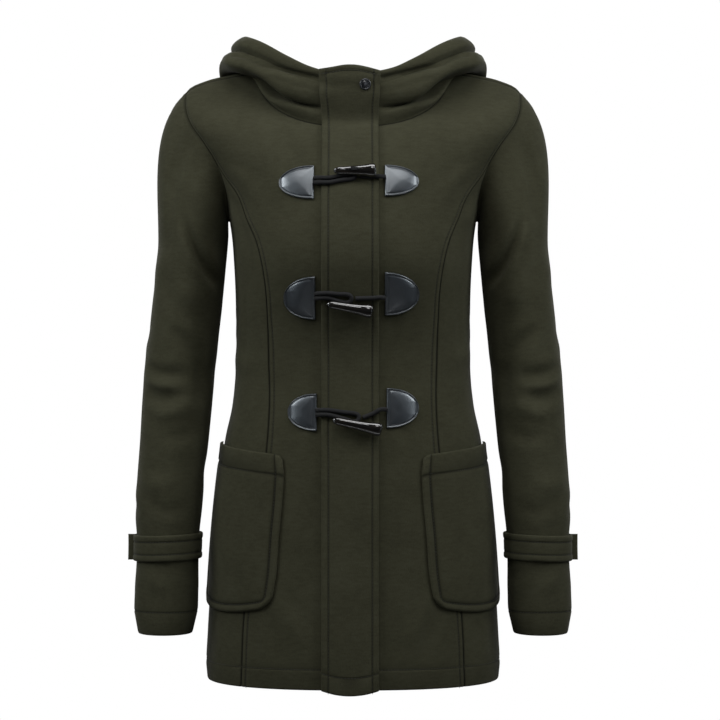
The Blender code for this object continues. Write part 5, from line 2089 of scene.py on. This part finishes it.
def new_group(
    name: str, inputs: Sequence[tuple[str, str, object]], outputs: Sequence[tuple[str, str]]
) -> tuple[Graph, bpy.types.Node, bpy.types.Node]:
    """An empty shader node group with named sockets.

    Args:
        name: the group's name.
        inputs: name, socket type and default of each input.
        outputs: name and socket type of each output.
    Returns:
        Its graph, its input node and its output node.
    """
    tree = bpy.data.node_groups.new(name, "ShaderNodeTree")
    for label, kind, value in inputs:
        socket = tree.interface.new_socket(name=label, in_out="INPUT", socket_type=kind)
        if value is not None:
            socket.default_value = value
    for label, kind in outputs:
        tree.interface.new_socket(name=label, in_out="OUTPUT", socket_type=kind)
    graph = Graph(tree)
    return graph, graph.add("NodeGroupInput"), graph.add("NodeGroupOutput")


FLOAT, COLOUR, VECTOR = "NodeSocketFloat", "NodeSocketColor", "NodeSocketVector"


def nap_group() -> bpy.types.NodeTree:
    """Brushed nap: a short, slightly combed pile with soft cloudy tone.

    Returns:
        The group, with outputs Tone and Height from 0 to 1.
    """
    graph, given, out = new_group(
        "Brushed Nap",
        (("Vector", VECTOR, None), ("Pile Scale", FLOAT, 900.0), ("Cloud Scale", FLOAT, 26.0),
         ("Streak Scale", FLOAT, 330.0)),
        (("Tone", FLOAT), ("Height", FLOAT)))
    vector = given.outputs["Vector"]
    parts = []
    for scale, place, detail, roughness in (
            ("Pile Scale", graph.scaled(vector, (1.0, 1.0, 0.45)), 3.0, 0.65),
            ("Streak Scale", graph.scaled(vector, (0.30, 0.30, 1.0)), 3.0, 0.6),
            ("Cloud Scale", vector, 4.0, 0.55)):
        noise = graph.add("ShaderNodeTexNoise", vector=place, scale=given.outputs[scale],
                          detail=detail, roughness=roughness)
        parts.append(noise.outputs["Fac"])
    pile, streak, cloud = parts
    fine = graph.math("ADD", graph.math("MULTIPLY", pile, 0.35),
                      graph.math("MULTIPLY", streak, 0.35))
    graph.join(graph.math("ADD", fine, graph.math("MULTIPLY", cloud, 0.30)), out.inputs["Tone"])
    graph.join(pile, out.inputs["Height"])
    return graph.tree


def weave_group() -> bpy.types.NodeTree:
    """A plain weave read from the cloth's own millimetres.

    Returns:
        The group, with an output Height from 0 to 1.
    """
    graph, given, out = new_group(
        "Plain Weave", (("Place", VECTOR, None), ("Pitch", FLOAT, 1.1)), (("Height", FLOAT),))
    split = graph.add("ShaderNodeSeparateXYZ")
    graph.join(given.outputs["Place"], split.inputs[0])
    turn = graph.math("DIVIDE", 2 * math.pi, given.outputs["Pitch"])
    warp = graph.math("SINE", graph.math("MULTIPLY", split.outputs["X"], turn))
    weft = graph.math("SINE", graph.math("MULTIPLY", split.outputs["Y"], turn))
    both = graph.math("MULTIPLY", warp, weft)
    lines = graph.math("ADD", graph.math("MULTIPLY", both, 0.3), graph.math("MULTIPLY", weft, 0.2))
    graph.join(graph.math("ADD", lines, 0.5), out.inputs["Height"])
    return graph.tree


def grain_group() -> bpy.types.NodeTree:
    """Fine pebbled grain of coated leather, with faint scuffs.

    Returns:
        The group, with outputs Height and Scuff from 0 to 1.
    """
    graph, given, out = new_group(
        "Pebbled Grain", (("Vector", VECTOR, None), ("Scale", FLOAT, 900.0)),
        (("Height", FLOAT), ("Scuff", FLOAT)))
    vector = given.outputs["Vector"]
    cells = graph.add("ShaderNodeTexVoronoi", feature="SMOOTH_F1", vector=vector,
                      scale=given.outputs["Scale"])
    scuff = graph.add("ShaderNodeTexNoise", vector=vector, scale=160.0, detail=5.0, roughness=0.7)
    graph.join(cells.outputs["Distance"], out.inputs["Height"])
    graph.join(scuff.outputs["Fac"], out.inputs["Scuff"])
    return graph.tree


def groove_shade_and_wear_group() -> bpy.types.NodeTree:
    """Colour that darkens with painted shade in seam and stitch grooves, lightens on worn ridges,
    and varies with the random tone.

    Returns:
        The group, with an output Colour.
    """
    graph, given, out = new_group(
        "Pressed And Worn",
        (("Colour", COLOUR, (0.5, 0.5, 0.5, 1.0)), ("Pressed Colour", COLOUR, (0.2, 0.2, 0.2, 1.0)),
         ("Worn Colour", COLOUR, (0.6, 0.6, 0.6, 1.0)), ("Pressed", FLOAT, 0.0),
         ("Tone", FLOAT, 0.5), ("Wear", FLOAT, 0.3)),
        (("Colour", COLOUR),))
    ridge = graph.add("ShaderNodeNewGeometry").outputs["Pointiness"]
    worn = graph.math("MULTIPLY", graph.math("SUBTRACT", ridge, 0.5), 9.0)
    worn = graph.math("MULTIPLY", graph.math("MAXIMUM", worn, 0.0), given.outputs["Wear"])
    tone = graph.math("MULTIPLY", graph.math("SUBTRACT", given.outputs["Tone"], 0.5), 1.9)
    light = graph.math("MINIMUM", graph.math("MAXIMUM", graph.math("ADD", worn, tone), 0.0), 1.0)
    lighter = graph.blend(light, given.outputs["Colour"], given.outputs["Worn Colour"])
    # painted groove shade, or the random tone where that is darker
    shade = graph.math("MAXIMUM", given.outputs["Pressed"], graph.math("MULTIPLY", tone, -1.0))
    darker = graph.blend(shade, lighter, given.outputs["Pressed Colour"])
    graph.join(darker, out.inputs["Colour"])
    return graph.tree


Groups = dict[str, bpy.types.NodeTree]
Colour = tuple[float, float, float]


@dataclass(frozen=True)
class ClothFinish:
    """The brushed wool-like cloth of the coat."""

    colour: Colour = (0.0475, 0.0465, 0.0275)
    # colour of the shade painted in seam and stitch grooves, also the dark end of the random tone
    pressed: Colour = (0.011, 0.011, 0.007)
    worn: Colour = (0.078, 0.078, 0.052)
    roughness: float = 0.95
    sheen: float = 0.04

    def material(self, groups: Groups) -> bpy.types.Material:
        """The finish's material.

        Args:
            groups: the shared node groups by name.
        Returns:
            The material.
        """
        made, graph, shader = new_material("coat cloth")
        graph.fill(shader, roughness=self.roughness, specular_ior_level=0.12,
                   sheen_weight=self.sheen, sheen_roughness=0.45, sheen_tint=(0.80, 0.82, 0.66))
        nap = graph.group(groups["nap"], vector=graph.place())
        weave = graph.group(groups["weave"], place=graph.read("cloth_mm").outputs["Vector"])
        # the cloth darkens with the groove shade painted into the mesh
        wear = graph.group(
            groups["wear"], colour=self.colour, pressed_colour=self.pressed, worn_colour=self.worn,
            pressed=graph.read("pressed").outputs["Fac"], tone=nap.outputs["Tone"])
        graph.fill(shader, base_color=wear.outputs["Colour"])
        height = graph.math("ADD", nap.outputs["Height"],
                            graph.math("MULTIPLY", weave.outputs["Height"], 0.35))
        graph.bump(shader, height, 0.35, 0.0006)
        return made


def new_material(name: str) -> tuple[bpy.types.Material, Graph, bpy.types.Node]:
    """An empty material.

    Args:
        name: its name.
    Returns:
        The material, its graph and its shader.
    """
    made = bpy.data.materials.new(name)
    made.use_nodes = True
    return made, Graph(made.node_tree), made.node_tree.nodes["Principled BSDF"]


@dataclass(frozen=True)
class LeatherFinish:
    """Glossy black imitation leather."""

    colour: Colour = (0.010, 0.012, 0.015)
    scuffed: Colour = (0.024, 0.027, 0.032)
    creased: Colour = (0.004, 0.005, 0.006)

    def material(self, groups: Groups) -> bpy.types.Material:
        """The finish's material.

        Args:
            groups: the shared node groups by name.
        Returns:
            The material.
        """
        made, graph, shader = new_material("patch leather")
        graph.fill(shader, ior=1.6, specular_ior_level=0.9, specular_tint=(0.80, 0.91, 1.0),
                   coat_weight=1.0, coat_ior=1.6, coat_roughness=0.30)
        grain = graph.group(groups["grain"], vector=graph.place())
        wear = graph.group(groups["wear"], colour=self.colour, pressed_colour=self.creased,
                           worn_colour=self.scuffed, tone=grain.outputs["Scuff"])
        rough = graph.math("ADD", graph.math("MULTIPLY", grain.outputs["Scuff"], 0.20), 0.28)
        graph.fill(shader, base_color=wear.outputs["Colour"], roughness=rough)
        graph.bump(shader, grain.outputs["Height"], 0.16, 0.0003)
        return made


@dataclass(frozen=True)
class HornFinish:
    """Polished dark horn with faint brown streaks along it."""

    colour: Colour = (0.005, 0.0045, 0.004)
    streak: Colour = (0.022, 0.016, 0.011)

    def material(self) -> bpy.types.Material:
        """The finish's material.

        Returns:
            The material.
        """
        made, graph, shader = new_material("toggle horn")
        graph.fill(shader, roughness=0.14, ior=1.6, specular_ior_level=1.0, coat_weight=1.0,
                   coat_ior=1.6, coat_roughness=0.10)
        streaks = graph.add(
            "ShaderNodeTexNoise", vector=graph.scaled(graph.place(), (0.10, 1.0, 1.0)),
            scale=420.0, detail=5.0, roughness=0.6, distortion=0.5).outputs["Fac"]
        ramp = graph.add("ShaderNodeValToRGB")
        for end, place, colour in zip(ramp.color_ramp.elements, (0.48, 0.80),
                                      (self.colour, self.streak)):
            end.position, end.color = place, (*colour, 1.0)
        graph.join(streaks, ramp.inputs["Fac"])
        graph.fill(shader, base_color=ramp.outputs["Color"])
        graph.bump(shader, streaks, 0.08, 0.0004)
        return made


@dataclass(frozen=True)
class YarnFinish:
    """Cord or thread: matte, with fine fibres."""

    name: str
    colour: Colour
    light: Colour
    roughness: float = 0.85
    shadow: float = 0.4

    def material(self, groups: Groups) -> bpy.types.Material:
        """The finish's material.

        Args:
            groups: the shared node groups by name.
        Returns:
            The material.
        """
        made, graph, shader = new_material(self.name)
        graph.fill(shader, roughness=self.roughness, sheen_weight=0.02)
        nap = graph.group(groups["nap"], pile_scale=1600.0, vector=graph.place())
        dark = tuple(part * self.shadow for part in self.colour)
        wear = graph.group(groups["wear"], colour=self.colour, pressed_colour=dark,
                           worn_colour=self.light, tone=nap.outputs["Tone"])
        graph.fill(shader, base_color=wear.outputs["Colour"])
        graph.bump(shader, nap.outputs["Height"], 0.4, 0.0003)
        return made


@dataclass(frozen=True)
class EnamelFinish:
    """Black enamelled metal of the press stud, rubbed at its rim."""

    colour: Colour = (0.010, 0.011, 0.013)
    rubbed: Colour = (0.12, 0.125, 0.14)

    def material(self, groups: Groups) -> bpy.types.Material:
        """The finish's material.

        Args:
            groups: the shared node groups by name.
        Returns:
            The material.
        """
        made, graph, shader = new_material("stud enamel")
        grain = graph.group(groups["grain"], vector=graph.place())
        wear = graph.group(groups["wear"], colour=self.colour, pressed_colour=self.colour,
                           worn_colour=self.rubbed, wear=0.5, tone=grain.outputs["Scuff"])
        rough = graph.math("ADD", graph.math("MULTIPLY", grain.outputs["Scuff"], 0.18), 0.16)
        graph.fill(shader, coat_weight=0.5, coat_roughness=0.12,
                   base_color=wear.outputs["Colour"], roughness=rough)
        return made


class Finishes:
    """Every material of the coat, made once."""

    def __init__(self) -> None:
        """Make the shared groups, then the materials."""
        groups = {"nap": nap_group(), "weave": weave_group(), "grain": grain_group(),
                  "wear": groove_shade_and_wear_group()}
        cord = YarnFinish("black cord", (0.0035, 0.0035, 0.004), (0.009, 0.009, 0.010))
        thread = YarnFinish("sewing thread", (0.022, 0.022, 0.015), (0.040, 0.040, 0.028))
        self.cloth = ClothFinish().material(groups)
        self.leather = LeatherFinish().material(groups)
        self.horn = HornFinish().material()
        self.cord = cord.material(groups)
        self.thread = thread.material(groups)
        self.enamel = EnamelFinish().material(groups)


@dataclass(frozen=True)
class Softbox:
    """One soft rectangular light, in metres and watts."""

    name: str
    place: tuple[float, float, float]
    aim: tuple[float, float, float]
    size: tuple[float, float]
    power: float
    colour: tuple[float, float, float] = (1.0, 1.0, 1.0)


COOL, COLD = (0.95, 0.98, 1.0), (0.85, 0.94, 1.0)
SOFTBOXES = (
    Softbox("key above", (0.0, -0.92, 1.2), (0.0, 0.0, -0.1), (1.4, 0.8), 12.5),
    Softbox("front above", (0.0, -1.7, 0.6), (0.0, 0.0, -0.02), (0.5, 0.4), 2.2),
    Softbox("side left", (-1.6, -0.75, 0.75), (0.0, 0.0, -0.15), (0.8, 1.0),
            18.0, COOL),
    Softbox("side right", (1.6, -0.75, 0.75), (0.0, 0.0, -0.15), (0.8, 1.0),
            18.0, COOL),
    Softbox("strip left", (-1.75, -1.4, -0.25), (0.0, 0.0, -0.3), (0.2, 1.3),
            2.1, COLD),
    Softbox("back above", (0.0, 1.5, 1.1), (0.0, 0.0, -0.2), (1.6, 0.8), 20.0),
    Softbox("back left", (-1.2, 1.7, -0.1), (0.0, 0.0, -0.3), (0.8, 1.2), 12.0),
    Softbox("back right", (1.2, 1.7, -0.1), (0.0, 0.0, -0.3), (0.8, 1.2), 12.0),
    Softbox("card below", (0.0, -0.8, -0.94), (0.0, 0.0, -0.2), (1.0, 0.05), 0.3),
    Softbox("strip right", (1.75, -1.4, -0.25), (0.0, 0.0, -0.3), (0.2, 1.3),
            2.1, COLD),
)


@dataclass
class Studio:
    """Pale floor, white surroundings, soft lights and the camera."""

    floor_height: float = -0.96
    floor_size: float = 30.0
    floor_tone: float = 0.05
    surroundings: float = 0.02

    def seen_white(self, graph: Graph, lit: bpy.types.NodeSocket, kind: str, output: str) -> None:
        """Show plain white to the camera and the given shader to the rest of the scene.

        Args:
            graph: the node tree.
            lit: the shader that lights the scene.
            kind: type name of the white shader.
            output: type name of the output node.
        """
        white = graph.add(kind, color=(1.0, 1.0, 1.0), strength=1.0)
        path, mix = graph.add("ShaderNodeLightPath"), graph.add("ShaderNodeMixShader")
        end = next(node for node in graph.tree.nodes if node.bl_idname == output)
        for index, source in enumerate((path.outputs["Is Camera Ray"], lit, white.outputs[0])):
            graph.join(source, mix.inputs[index])
        graph.join(mix.outputs[0], end.inputs["Surface"])

    def floor(self) -> None:
        """A plain pale floor."""
        size, height = self.floor_size, self.floor_height
        corners = [(-size, -size, height), (size, -size, height), (size, size, height),
                   (-size, size, height)]
        mesh = bpy.data.meshes.new("floor")
        mesh.from_pydata(corners, [], [(0, 1, 2, 3)])
        made = bpy.data.objects.new("floor", mesh)
        bpy.context.scene.collection.objects.link(made)
        material, graph, shader = new_material("pale floor")
        shader.inputs["Base Color"].default_value = (self.floor_tone,) * 3 + (1.0,)
        shader.inputs["Roughness"].default_value = 0.9
        self.seen_white(graph, shader.outputs[0], "ShaderNodeEmission", "ShaderNodeOutputMaterial")
        mesh.materials.append(material)

    def light(self, box: Softbox) -> None:
        """Set up one softbox.

        Args:
            box: its place, size and power.
        """
        data = bpy.data.lights.new(box.name, "AREA")
        data.shape = "RECTANGLE"
        data.size, data.size_y = box.size
        data.energy = box.power
        data.color = box.colour
        made = bpy.data.objects.new(box.name, data)
        made.location = box.place
        away = np.array(box.place) - np.array(box.aim)
        flat = math.hypot(away[0], away[1])
        heading = math.atan2(away[1], away[0]) + math.pi / 2
        made.rotation_euler = (math.atan2(flat, away[2]), 0.0, heading)
        made.visible_camera = False
        bpy.context.scene.collection.objects.link(made)

    def camera(self) -> None:
        """The camera at the photograph's angle."""
        data = bpy.data.cameras.new("camera")
        data.sensor_width = 36.0
        data.lens = 131.1
        data.clip_end = 100.0
        made = bpy.data.objects.new("camera", data)
        made.location = (0.0085, -3.2, -0.3355)
        made.rotation_euler = (math.pi / 2, 0.0, 0.0)
        bpy.context.scene.collection.objects.link(made)
        bpy.context.scene.camera = made

    def surround(self) -> None:
        """Dim white surroundings that the camera sees as plain white."""
        world = bpy.data.worlds.new("studio")
        world.use_nodes = True
        ambient = world.node_tree.nodes["Background"]
        ambient.inputs["Color"].default_value = (1.0, 1.0, 1.0, 1.0)
        ambient.inputs["Strength"].default_value = self.surroundings
        graph = Graph(world.node_tree)
        self.seen_white(graph, ambient.outputs[0], "ShaderNodeBackground", "ShaderNodeOutputWorld")
        bpy.context.scene.world = world
        bpy.context.scene.view_settings.view_transform = "Standard"

    def build(self) -> None:
        """Set everything up."""
        self.floor()
        self.camera()
        self.surround()
        for box in SOFTBOXES:
            self.light(box)


def main() -> None:
    """Build the coat's looks piece by piece."""
    logging.basicConfig(level=logging.INFO, format="%(name)s: %(message)s")
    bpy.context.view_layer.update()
    Studio().build()
    shop = Workshop(Finishes())
    panels = BodyPanels(shop)
    panels.build()
    for side in Side:
        Sleeve(shop, side).build()
    hood = Hood(shop)
    hood.build()
    placket = Placket(shop, hood, panels)
    placket.build()
    for side in Side:
        Pocket(shop, side).build()
        CuffStrap(shop, side).build()
    Closures(shop, placket).build()
    shop.finish_threads()


if __name__ == "__main__":
    main()
